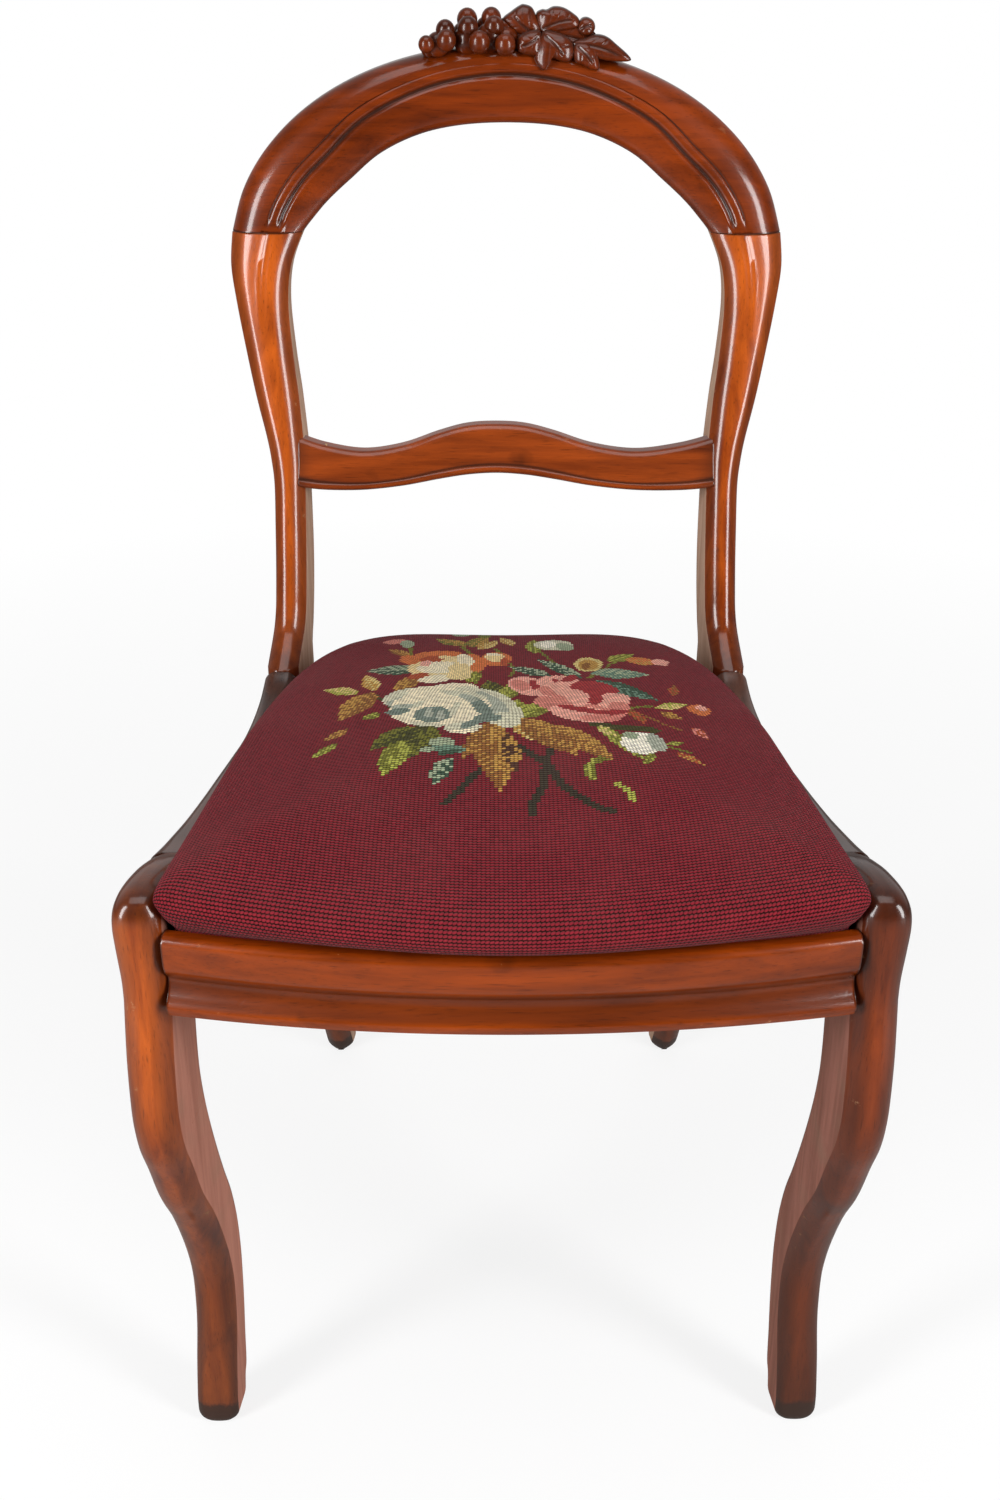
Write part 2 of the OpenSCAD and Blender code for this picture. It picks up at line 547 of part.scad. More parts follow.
// Point of the plan in the direction a, drawn in by inset
function seat_plan(a, inset, rear = rear_power) =
    let (n = sin(a) < 0 ? front_power : rear,
         reach = pow(pow(abs(cos(a)), n) + pow(abs(sin(a)), n), -1 / n),
         across = reach * cos(a),
         straight = seat_mid_y + (seat_half_d - inset) * reach * sin(a),
         ahead = max(0, (seat_mid_y - straight) / seat_half_d),
         y = straight + knee_set * pow(across, 2) * ahead)
    [(seat_half(y) - inset) * across, y];
module seat_slab(inset, z, h) {
    translate([0, 0, z]) linear_extrude(h)
        polygon([for (a = plan_angles) seat_plan(a, inset)]);
}
hem_z = ledge_h + 0.3 * web_t;
frame_z = hem_z + web_t * 1.2;
frame_top = frame_z + frame_t;
frame_inset = cover_t * 1.35;
module frame_ring() {
    difference() {
        seat_slab(frame_inset, frame_z, frame_t);
        translate([0, 0, frame_z - overrun]) linear_extrude(frame_t + 2 * overrun)
            polygon([[-frame_inner_x(frame_y0), frame_y0], [frame_inner_x(frame_y0), frame_y0],
                [frame_inner_x(frame_y1), frame_y1], [-frame_inner_x(frame_y1), frame_y1]]);
    }
}
frame_y0 = seat_front_y + frame_w + knee_set / 2;
frame_y1 = seat_back_y - frame_w;
function frame_inner_x(y) = seat_half(y) - frame_w;
module frame_room(y0, y1) {
    translate([-knee_w, y0, 0]) cube([2 * knee_w, y1 - y0, seat_h * 2]);
}
function seat_peg(y) = [seat_half(y) - frame_w / 2, y, frame_z + frame_t / 2];
seat_peg_shares = [-0.36, -0.02];
seat_pegs = [for (y = [frame_y0, frame_y1], s = seat_peg_shares)
    [seat_peg(y) + [frame_w * s, 0, 0], [-side_splay_share, 1, 0], dowel_l * 0.8]];
module seat_peg_holes() {
    for (side = [0, 1]) mirror([side, 0, 0])
        for (p = seat_pegs) peg(p[0], p[1], dowel_d * 0.8, p[2], dowel_fit);
}
module seat_frame_front() {
    color("tan") placed() difference() {
        intersection() { frame_ring(); frame_room(0, frame_y0); }
        seat_peg_holes();
    }
}
module seat_frame_back() {
    color("tan") placed() difference() {
        intersection() { frame_ring(); frame_room(frame_y1, chair_d); }
        seat_peg_holes();
    }
}
module seat_frame_side(side) {
    color("tan") on_side(side) difference() {
        intersection() {
            frame_ring();
            frame_room(frame_y0, frame_y1);
            cube([knee_w, chair_d, 2 * seat_h]);
        }
        seat_peg_holes();
    }
}
module seat_frame_dowels() {
    color("burlywood") for (side = [-1, 1]) on_side(side)
        for (p = seat_pegs) peg(p[0], p[1], dowel_d * 0.8, p[2]);
}
web_share = [-0.30, 0, 0.30];
module long_webbing() {
    color("wheat") placed() for (s = web_share)
        translate([(side_x(frame_y1) - leg_t) * 1.6 * s - web_w / 2, frame_y0 - frame_w * 0.6, frame_top])
            cube([web_w, frame_y1 - frame_y0 + frame_w * 1.2, web_t]);
}
module cross_webbing() {
    color("wheat") placed() for (s = web_share) {
        y = (frame_y0 + frame_y1) / 2 + (frame_y1 - frame_y0) * s;
        x = side_x(y + web_w / 2) - leg_t - seat_gap - frame_w * 0.35;
        translate([-x, y - web_w / 2, frame_top + web_t]) cube([2 * x, web_w, web_t]);
    }
}
burlap_z = frame_top + 2 * web_t;
module burlap() {
    color("burlywood") placed() seat_slab(frame_w * 0.3, burlap_z, web_t);
}
module dust_cover() {
    color([0.12, 0.11, 0.11]) placed() seat_slab(frame_w * 0.55, frame_z - web_t * 1.1, web_t);
}

// The cushion: rings of the plan from the hem up the sides and over the crown. Each row
// gives the inset from the frame's plan in millimetres worked out from named sizes, the
// height, and how far the ring takes the cushion's fuller, rounder upper plan
pad_z = burlap_z + web_t;
crown_z = seat_h + crown_rise;
function swell_z(a) = let (back = pow(max(0, sin(a)), 2))
    seat_h + crown_rise * (0.34 + 0.27 * (1 - pow(abs(sin(a)), 4.5)) - 0.2 * back
        - 0.56 * back * pow(cos(a), 2));
function upper_plan(a, inset) =
    let (lower = seat_plan(a, inset, rear_top_power),
         back = max(0, (lower[1] - seat_mid_y) / seat_half_d),
         front = min(1, max(0, (seat_mid_y - lower[1]) / seat_half_d)),
         grow = cover_bulge * (1 - 1.6 * back + 0.4 * pow(front, 6)))
    [lower[0] * (1 + grow / half_w), lower[1] - front_lip * pow(front, 6) - cover_bulge * back];
// A point of the cushion's skin: c runs from 0 at the hem's edge up the frame to 0.5, then
// to 1 at the swell and to 2 in the middle of the crown; depth is measured inwards. Along
// the front the skin lies over the rail's lip, at the sides it stays inside the knees
wall_top = seat_h + seat_gap * 0.3;
function quick(up) = 1 - pow(1 - up, 12);
function skin_point(a, c, depth) =
    let (wall = min(1, 2 * c), up = max(0, min(1, 2 * c - 1)), over = max(0, c - 1),
         low = seat_plan(a, depth), high = upper_plan(a, depth), late = max(0, (up - 0.6) / 0.4),
         free = (frame_top - wall_top) / (swell_z(a) - wall_top), in = max(0, (up - free) / (1 - free)),
         slow = in * in * (3 - 2 * in),
         ease_x = abs(high[0]) > abs(low[0]) ? late * late * (3 - 2 * late) : slow,
         ease_y = high[1] < low[1] && low[1] < seat_mid_y ? quick(up) : slow,
         edge = [low[0] + (high[0] - low[0]) * ease_x, low[1] + (high[1] - low[1]) * ease_y],
         z_edge = hem_z + (wall_top - hem_z) * wall + (swell_z(a) - wall_top) * up,
         keep = 1 - over,
         centre = [0, seat_mid_y],
         p = centre + (edge - centre) * keep,
         rise = (crown_z - depth - swell_z(a)) * pow(1 - pow(keep, 2.4), 0.65))
    [p[0], p[1], over > 0 ? z_edge + rise : z_edge];
function skin_ring(c, depth) = [for (a = plan_angles) skin_point(a, c, depth)];
outer_levels = [0, 0.50, 0.56, 0.66, 0.78, 0.88, 1, 1.03, 1.08, 1.16, 1.28, 1.45, 1.68];
inner_levels = [1.68, 1.45, 1.24, 1.10, 1, 0.88, 0.78, 0.66, 0.50];
function flat_ring(inset, z) = [for (a = plan_angles) let (p = seat_plan(a, inset)) [p[0], p[1], z]];
module seat_cover() {
    color([0.42, 0.10, 0.14]) placed() {
        hem = flat_ring(frame_w * 0.42, hem_z);
        hem_top = flat_ring(frame_w * 0.42, hem_z + web_t);
        fold = flat_ring(cover_t, hem_z + web_t);
        shell(concat([hem], [for (c = outer_levels) skin_ring(c, 0)]),
              concat([for (c = inner_levels) skin_ring(c, cover_t)], [fold, hem_top]));
    }
}
// A shell: the outer rings run from the hem to the crown, close over its middle, and the
// inner rings run back down to the hem
module shell(outer, inner) {
    n = plan_steps;
    top = [0, seat_mid_y, crown_z];
    under = [0, seat_mid_y, crown_z - cover_t];
    rings = concat(outer, inner);
    m = len(outer);
    total = len(rings);
    points = concat([for (ring = rings, p = ring) p], [top, under]);
    walls = [for (i = [0:total - 1], k = [0:n - 1]) if (i != m - 1)
        let (j = (i + 1) % total, l = (k + 1) % n, a = i * n + k, b = i * n + l, c = j * n + k, d = j * n + l)
        each [[a, d, b], [a, c, d]]];
    crown = [for (k = [0:n - 1])
        let (a = (m - 1) * n + k, b = (m - 1) * n + (k + 1) % n) [a, total * n, b]];
    roof = [for (k = [0:n - 1])
        let (a = m * n + k, b = m * n + (k + 1) % n) [a, b, total * n + 1]];
    polyhedron(points, concat(walls, crown, roof));
}
pad_levels = [1, 1.10, 1.24, 1.45, 1.68];
// Where the skin reaches the height of the padding's underside
function pad_start(a) = (1 + (pad_z - wall_top) / (swell_z(a) - wall_top)) / 2;
module seat_padding() {
    color("beige") placed() {
        depth = cover_t * 1.7;
        rings = concat([for (s = [0, 0.4, 0.7]) [for (a = plan_angles)
                skin_point(a, pad_start(a) + (1 - pad_start(a)) * s, depth + front_lip * max(0, 0.5 - s))]],
            [for (c = pad_levels) skin_ring(c, depth)]);
        n = plan_steps;
        m = len(rings);
        points = concat([for (ring = rings, p = ring) p], [[0, seat_mid_y, crown_z - depth]]);
        walls = [for (i = [0:m - 2], k = [0:n - 1]) let (a = i * n + k, b = i * n + (k + 1) % n)
            each [[a, b + n, b], [a, a + n, b + n]]];
        crown = [for (k = [0:n - 1]) [(m - 1) * n + k, m * n, (m - 1) * n + (k + 1) % n]];
        polyhedron(points, concat(walls, crown, [[for (k = [0:n - 1]) k]]));
    }
}
tack_count = 24;
module cover_tacks() {
    color("gray") placed() for (k = [0:tack_count - 1]) {
        p = seat_plan(360 * (k + 0.5) / tack_count, frame_w * 0.25);
        translate([p[0], p[1], hem_z + web_t * 0.1]) {
            cylinder(h = web_t * 0.6, d = tack_head_d, $fn = 24);
            cylinder(h = tack_l, d = tack_head_d * 0.25, $fn = 16);
        }
    }
}

front_leg(-1, true);  // left_front_leg
front_leg(1, false);  // right_front_leg
left_leg_strip();
back_post(-1);  // left_back_post
back_post(1);  // right_back_post
side_rail(-1);  // left_side_rail
side_rail(1);  // right_side_rail
front_rail();
back_rail();
crest_rail();
cross_rail();
grape_cluster();
leaf_spray();
block(true, -1);  // front_left_block
block(true, 1);  // front_right_block
block(false, -1);  // rear_left_block
block(false, 1);  // rear_right_block
block_screws();
dowels(front_dowels);  // front_rail_dowels
dowels(back_dowels);  // back_rail_dowels
dowels(side_front_dowels);  // side_rail_front_dowels
dowels(side_rear_dowels);  // side_rail_rear_dowels
dowels(top_dowels);  // crest_dowels
dowels(cross_dowels);  // cross_rail_dowels
seat_frame_front();
seat_frame_back();
seat_frame_side(-1);  // seat_frame_left
seat_frame_side(1);  // seat_frame_right
seat_frame_dowels();
long_webbing();
cross_webbing();
burlap();
seat_padding();
seat_cover();
cover_tacks();
dust_cover();
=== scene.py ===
"""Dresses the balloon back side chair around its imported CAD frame.

Shapes are worked out in the part's own millimetres, with y = 0 at the bow of the front
rail, and go into the shared frame in metres through to_frame().
"""

import json
import logging
import math
from collections.abc import Callable
from dataclasses import dataclass, field, replace
from enum import Enum

import bpy
import numpy as np
from bpy.types import Material, Mesh, Node, NodeSocket, Object
from mathutils import Matrix, Vector

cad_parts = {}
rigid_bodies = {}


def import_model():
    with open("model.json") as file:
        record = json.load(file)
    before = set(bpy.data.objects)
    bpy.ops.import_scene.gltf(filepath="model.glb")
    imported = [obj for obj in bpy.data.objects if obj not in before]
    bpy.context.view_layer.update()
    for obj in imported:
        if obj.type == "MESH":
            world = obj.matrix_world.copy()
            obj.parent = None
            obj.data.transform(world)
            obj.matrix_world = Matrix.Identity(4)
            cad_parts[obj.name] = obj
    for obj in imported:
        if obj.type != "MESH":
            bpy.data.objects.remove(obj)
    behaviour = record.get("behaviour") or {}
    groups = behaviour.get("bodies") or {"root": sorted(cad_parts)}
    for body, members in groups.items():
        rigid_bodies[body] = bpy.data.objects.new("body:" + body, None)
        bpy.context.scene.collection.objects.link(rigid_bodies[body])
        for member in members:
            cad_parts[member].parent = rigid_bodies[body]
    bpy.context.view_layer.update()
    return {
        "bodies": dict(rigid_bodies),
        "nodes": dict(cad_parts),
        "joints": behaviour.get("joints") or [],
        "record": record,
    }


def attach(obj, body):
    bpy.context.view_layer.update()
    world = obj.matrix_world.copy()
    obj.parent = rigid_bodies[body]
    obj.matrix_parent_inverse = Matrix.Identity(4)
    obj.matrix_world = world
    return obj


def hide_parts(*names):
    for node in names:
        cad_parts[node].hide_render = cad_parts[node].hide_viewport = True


Array = np.ndarray
Values = Array | float
Relief = Callable[[Array, Array], Array]
Colour = tuple[int, int, int]

log = logging.getLogger("balloon_back_chair")
METRE = 0.001
SHARP_ANGLE = 50.0


class Side(Enum):
    """Which side of the chair a piece stands on, as the sign of x."""

    LEFT = -1
    RIGHT = 1


@dataclass(frozen=True)
class ChairSizes:
    """Named sizes of the chair in millimetres, the same as in the part's source."""

    knee_w: float = 458.0
    depth: float = 545.0
    seat_h: float = 451.0
    crest_h: float = 882.0
    arch_h: float = 124.0
    splay: float = 0.1275
    leg_t: float = 29.0
    knee_set: float = 23.5
    knee_rise: float = 24.0
    leg_sweep: float = 100.0
    knee_block: float = 78.5
    post_t: float = 24.0
    post_set: float = 157.0
    rear_kick: float = 157.0
    swell: float = 31.7
    inner_swell: float = 12.8
    crest_t: float = 29.0
    crest_rail_h: float = 51.0
    crest_shoulder: float = 18.0
    bead_w: float = 7.0
    groove_d: float = 2.5
    carving_w: float = 144.0
    grape_r: float = 7.2
    front_rail_h: float = 53.0
    front_rail_t: float = 25.0
    front_lip: float = 10.0
    rebate_d: float = 16.0
    back_rail_set: float = 101.0
    cross_h: float = 35.0
    cross_t: float = 16.0
    cross_place: float = 0.4186
    rake: float = 0.26

    @property
    def half_w(self) -> float:
        """Half the width over the knees."""
        return self.knee_w / 2

    @property
    def knee_h(self) -> float:
        """Height of the knees' tops."""
        return self.seat_h + self.knee_rise

    @property
    def joint_h(self) -> float:
        """Height of the joints between the posts and the crest rail."""
        return self.crest_h - self.arch_h

    @property
    def cross_z(self) -> float:
        """Height of the cross rail's underside."""
        return self.seat_h + (self.joint_h - self.seat_h) * self.cross_place

    @property
    def under_h(self) -> float:
        """Height of the rails' underside."""
        return self.seat_h - self.front_rail_h

    @property
    def horn_h(self) -> float:
        """Height of the side rail's rear end."""
        return self.under_h + self.front_rail_h * 1.047

    @property
    def post_y(self) -> float:
        """Depth of the joints between side rails and posts."""
        return self.depth - self.post_set

    @property
    def leg_back_y(self) -> float:
        """Depth of the joints between knee blocks and side rails."""
        return self.knee_set + self.knee_block

    @property
    def joint_y(self) -> float:
        """Depth of the posts' front faces at the crest joint."""
        return self.post_y + self.post_set * 0.618

    def side_x(self, y: Values) -> Values:
        """Outer face of a side at the depth y."""
        return self.half_w - self.splay * (y - self.knee_set)

    def back_plane_y(self, z: Values) -> Values:
        """Depth of the raked plane that holds the back's front faces, at the height z."""
        return self.joint_y - self.rake * (self.joint_h - z)


SIZES = ChairSizes()


def to_frame(points: Array) -> Array:
    """Millimetres from the front datum to metres in the shared frame."""
    moved = np.array(points, dtype=float)
    moved[..., 1] -= SIZES.depth / 2
    return moved * METRE


def placed(name: str, data: bpy.types.ID) -> Object:
    """A new object of the scene with the given mesh, lamp or camera."""
    made = bpy.data.objects.new(name, data)
    bpy.context.scene.collection.objects.link(made)
    return made


def bake(made: Object) -> None:
    """Works an object's modifiers into its mesh."""
    plain = made.data
    done = bpy.data.meshes.new_from_object(made.evaluated_get(bpy.context.evaluated_depsgraph_get()))
    made.modifiers.clear()
    made.data = done
    bpy.data.meshes.remove(plain)


# Surfaces


def smooth_rows(rows: Array, steps: int) -> Array:
    """Runs a Catmull-Rom curve through rows of numbers.

    Args:
        rows: The given rows, which the curve passes through.
        steps: How many rows each stretch between two given rows gets.

    Returns:
        The finer rows, ending with the last given one.
    """
    rows = np.asarray(rows, dtype=float)
    count = len(rows)
    i = np.repeat(np.arange(count - 1), steps)
    u = np.tile(np.arange(steps) / steps, count - 1)[:, None]
    a, b = rows[np.maximum(i - 1, 0)], rows[i]
    c, d = rows[i + 1], rows[np.minimum(i + 2, count - 1)]
    run = (2 * b + (c - a) * u + (2 * a - 5 * b + 4 * c - d) * u**2 + (3 * b - a - 3 * c + d) * u**3) / 2
    return np.vstack([run, rows[-1:]])


def smoothstep(low: float, high: float, x: Array) -> Array:
    """0 below low, 1 above high, and a smooth S curve between them."""
    t = np.clip((np.asarray(x, dtype=float) - low) / (high - low), 0, 1)
    return t * t * (3 - 2 * t)


def ring_faces(rings: int, around: int, start: int = 0) -> Array:
    """Quads between neighbouring closed rings of points, numbered ring by ring."""
    i, k = np.meshgrid(np.arange(rings - 1), np.arange(around), indexing="ij")
    a, b = i * around + k, i * around + (k + 1) % around
    return np.stack([a, b, b + around, a + around], axis=-1).reshape(-1, 4) + start


def eased_ends(rings: Array, ease: float = 0.5) -> Array:
    """Draws both end rings in by ease millimetres, so that a joint shows as a fine line.

    Args:
        rings: The piece's rings.
        ease: How far the end rings are drawn in.

    Returns:
        The rings with the end ones replaced by three each, the last of them 3 ease away.
    """

    def end(ring: Array, neighbour: Array) -> list[Array]:
        """One end's three rings, the outermost first.

        Args:
            ring: The end ring.
            neighbour: The ring next to it.

        Returns:
            The rings: drawn in, one step away and three steps away.
        """
        centre = ring.mean(axis=0)
        away = centre - ring
        reach = np.linalg.norm(away, axis=1, keepdims=True)
        step = (neighbour - ring) * ease / np.linalg.norm(neighbour.mean(axis=0) - centre)
        return [ring + away * ease / reach, ring + step, ring + 3 * step]

    first, last = end(rings[0], rings[1]), end(rings[-1], rings[-2])
    return np.concatenate([first, rings[1:-1], last[::-1]])


def outward(points: Array, faces: list[Array]) -> list[Array]:
    """Turns every face round if the closed shape's signed volume says it is inside out.

    Args:
        points: The shape's points.
        faces: Groups of faces with equal corner counts.

    Returns:
        The groups, all turned round where the volume is negative.
    """
    volume = 0.0
    for group in faces:
        first = points[group[:, 0]]
        for k in range(1, group.shape[1] - 1):
            volume += np.einsum("ij,ij->", first, np.cross(points[group[:, k]], points[group[:, k + 1]]))
    return [group[:, ::-1] for group in faces] if volume < 0 else faces


@dataclass
class Piece:
    """A mesh in the making, in millimetres, with its body, marks, crease angle and unpolished faces."""

    name: str
    points: Array
    faces: list[Array]
    body: str = "frame"
    marks: dict[str, Array] = field(default_factory=dict)
    crease: float = SHARP_ANGLE
    bare: Array | None = None

    def build(self, material: Material, slot: str, *nodes: str,
              unpolished: Material | None = None) -> Object:
        """Makes the Blender object, puts it on its body and lets it stand for CAD nodes.

        Args:
            material: The finish.
            slot: The record's material slot; not used.
            nodes: CAD nodes that the object stands for.
            unpolished: The finish of the faces marked as bare.

        Returns:
            The object.
        """
        mesh = bpy.data.meshes.new(self.name)
        faces = [face for group in self.faces for face in group.tolist()]
        mesh.from_pydata(to_frame(self.points).tolist(), [], faces)
        for mark, values in self.marks.items():
            layer = mesh.attributes.new(mark, "FLOAT", "POINT")
            layer.data.foreach_set("value", values.astype(np.float32).ravel())
        mesh.shade_smooth()
        mesh.set_sharp_from_angle(angle=math.radians(self.crease))
        mesh.materials.append(material)
        if unpolished is not None:
            mesh.materials.append(unpolished)
            index = np.zeros(len(faces), np.int32)
            index[:len(self.bare)] = self.bare
            mesh.polygons.foreach_set("material_index", index)
        made = placed(self.name, mesh)
        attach(made, self.body)
        if nodes:
            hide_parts(*nodes)
        log.info("%s: %d points, %d faces", self.name, len(mesh.vertices), len(mesh.polygons))
        return made


def lofted(name: str, rings: Array, marks: dict[str, Array] | None = None,
           bare: tuple[int, int] | None = None, ease: float = 0.5) -> Piece:
    """A closed piece through rings of points, flat at both ends.

    Args:
        name: The piece's name.
        rings: Points as (ring, place round the ring, xyz).
        marks: Values for every point as (ring, place), which materials read.
        bare: The first and last place of the faces that were left unpolished.
        ease: How far the ends are drawn in; nothing is eased or darkened at 0.

    Returns:
        The piece, its faces turned outwards, with the mark joint at its ends.
    """
    around = rings.shape[1]
    if ease:
        rings = eased_ends(rings, ease)
        marks = {mark: np.concatenate([values[[0, 0]], values, values[[-1, -1]]])
                 for mark, values in (marks or {}).items()}
        joint = np.zeros((len(rings), around))
        joint[[0, -1]], joint[[1, -2]] = 1.0, 0.7
        marks["joint"] = joint
    count = len(rings)
    points = rings.reshape(-1, 3)
    caps = np.array([np.arange(around)[::-1], (count - 1) * around + np.arange(around)])
    place = np.tile(np.arange(around), count - 1)
    first, last = bare or (0, 0)
    return Piece(name, points, outward(points, [ring_faces(count, around), caps]),
                 marks={mark: values.ravel() for mark, values in (marks or {}).items()},
                 bare=(place >= first) & (place < last))


def merged(name: str, pieces: list[Piece]) -> Piece:
    """Several closed shells as one piece, with the marks of the first.

    Args:
        name: The piece's name.
        pieces: The shells.

    Returns:
        The piece.
    """
    start = np.cumsum([0] + [len(piece.points) for piece in pieces])
    faces = [group + start[k] for k, piece in enumerate(pieces) for group in piece.faces]
    marks = {mark: np.concatenate([piece.marks[mark] for piece in pieces]) for mark in pieces[0].marks}
    return Piece(name, np.vstack([piece.points for piece in pieces]), faces, marks=marks)


@dataclass(frozen=True)
class Section:
    """How finely the rounded rectangles of boards are drawn."""

    steps: int = 6
    flats: tuple[int, int, int, int] = (5, 5, 5, 19)

    def inner_face(self) -> tuple[int, int]:
        """First and last place of the faces on the inner side."""
        corner = self.steps + 1
        first = 3 * corner + self.flats[0] + self.flats[1] - 1
        return first, first + self.flats[2] + 2

    def rings(self, length: Array, width: Array, r0: Values,
              r1: Values) -> tuple[Array, Array]:
        """Rounded rectangles, one for each ring, as quarter circles joined by straight runs.

        Args:
            length: Each rectangle's length, from its front edge to its back edge.
            width: Each rectangle's width.
            r0: Radius of the two front corners, one value or one for each rectangle.
            r1: Radius of the two back corners.

        Returns:
            Points as (ring, place, along and across), and 1 at the corners and 0 between them.
        """
        length, width, r0, r1 = (np.broadcast_to(value, len(length)).astype(float)[:, None]
                                 for value in (length, width, r0, r1))
        turn = np.radians(np.linspace(0, 90, self.steps + 1))[None, :]
        corners = [(r0, r0, r0, 180), (length - r1, r1, r1, 270), (length - r1, width - r1, r1, 0),
                   (r0, width - r0, r0, 90)]
        arcs = [np.stack([a + r * np.cos(turn + math.radians(at)),
                          b + r * np.sin(turn + math.radians(at))], axis=-1)
                for a, b, r, at in corners]
        parts, edge = [], []
        for k, flats in enumerate(self.flats):
            share = (0.5 - 0.5 * np.cos(np.pi * (np.arange(flats) + 1) / (flats + 1)))[None, :, None]
            start, end = arcs[k][:, -1:], arcs[(k + 1) % 4][:, :1]
            parts += [arcs[k], start + (end - start) * share]
            edge += [np.sin(2 * turn[0]) ** 0.5, np.zeros(flats)]
        return np.concatenate(parts, axis=1), np.tile(np.concatenate(edge), (len(length), 1))


SECTION = Section()


def crowned(rise: float) -> Relief:
    """A front face whose edges lie back by rise: the depth is rise (1 - 4 a (1 - a))."""
    return lambda across, ring: rise * (1 - 4 * across * (1 - across)) + 0 * ring


def board_rings(front: Array, back: Array, w0: Values, w1: Values, r0: Values, r1: Values,
                skew: Values = 1.0, relief: Relief = crowned(0.0)) -> tuple[Array, Array]:
    """Rings of a board that stands on the splayed right side of the chair.

    Each ring is a rounded rectangle between the board's front edge and its back edge, and
    its thickness runs inwards from the side's outer face.

    Args:
        front: Front edge points [y, z], one for each ring.
        back: Back edge points [y, z].
        w0: How far the outer face lies inside the splayed side.
        w1: How far the inner face lies inside it.
        r0: Radius at the front.
        r1: Radius at the back.
        skew: How far each ring follows the splay.
        relief: Depth of the front face from the share across it and the ring's number.

    Returns:
        The rings, and the mark of their rounded corners.
    """
    run = back - front
    length = np.linalg.norm(run, axis=1)
    along = run / length[:, None]
    w0, w1 = np.broadcast_to(w0, length.shape), np.broadcast_to(w1, length.shape)
    skew = np.broadcast_to(skew, length.shape)
    section, edge = SECTION.rings(length, w1 - w0, r0, r1)
    across = section[..., 1] / (w1 - w0)[:, None]
    facing = np.clip(1 - section[..., 0] / np.reshape(r0, (-1, 1)), 0, 1)
    depth = relief(across, np.arange(len(front))[:, None]) * facing
    yz = front[:, None, :] + along[:, None, :] * (section[..., 0] + depth)[..., None]
    x = SIZES.side_x(front[:, 0])[:, None] - SIZES.splay * skew[:, None] * (yz[..., 0] - front[:, :1])
    x = x - w0[:, None] - section[..., 1]
    return np.stack([x, yz[..., 0], yz[..., 1]], axis=-1), edge


def cut(made: Object, room: Array, how: str) -> None:
    """Cuts an object with a box.

    Args:
        made: The object.
        room: The box's lowest and highest corner in millimetres.
        how: DIFFERENCE or INTERSECT.
    """
    low, high = room
    corner = np.array([[x, y, z] for z in (low[2], high[2]) for x, y in
                       ((low[0], low[1]), (high[0], low[1]), (high[0], high[1]), (low[0], high[1]))])
    sides = [[0, 3, 2, 1], [4, 5, 6, 7], [0, 1, 5, 4], [1, 2, 6, 5], [2, 3, 7, 6], [3, 0, 4, 7]]
    mesh = bpy.data.meshes.new("cutter")
    mesh.from_pydata(to_frame(corner).tolist(), [], sides)
    cutter = placed("cutter", mesh)
    step = made.modifiers.new("cut", "BOOLEAN")
    step.operation, step.solver, step.object = how, "EXACT", cutter
    bake(made)
    made.data.set_sharp_from_angle(angle=math.radians(SHARP_ANGLE))
    bpy.data.objects.remove(cutter)
    bpy.data.meshes.remove(mesh)


# Materials


def linear(red: int, green: int, blue: int) -> tuple[float, float, float, float]:
    """A colour as a screen shows it, 0 to 255, as the linear values that a shader takes."""
    value = np.array([red, green, blue]) / 255
    value = np.where(value <= 0.04045, value / 12.92, ((value + 0.055) / 1.055) ** 2.4)
    return (*value.tolist(), 1.0)


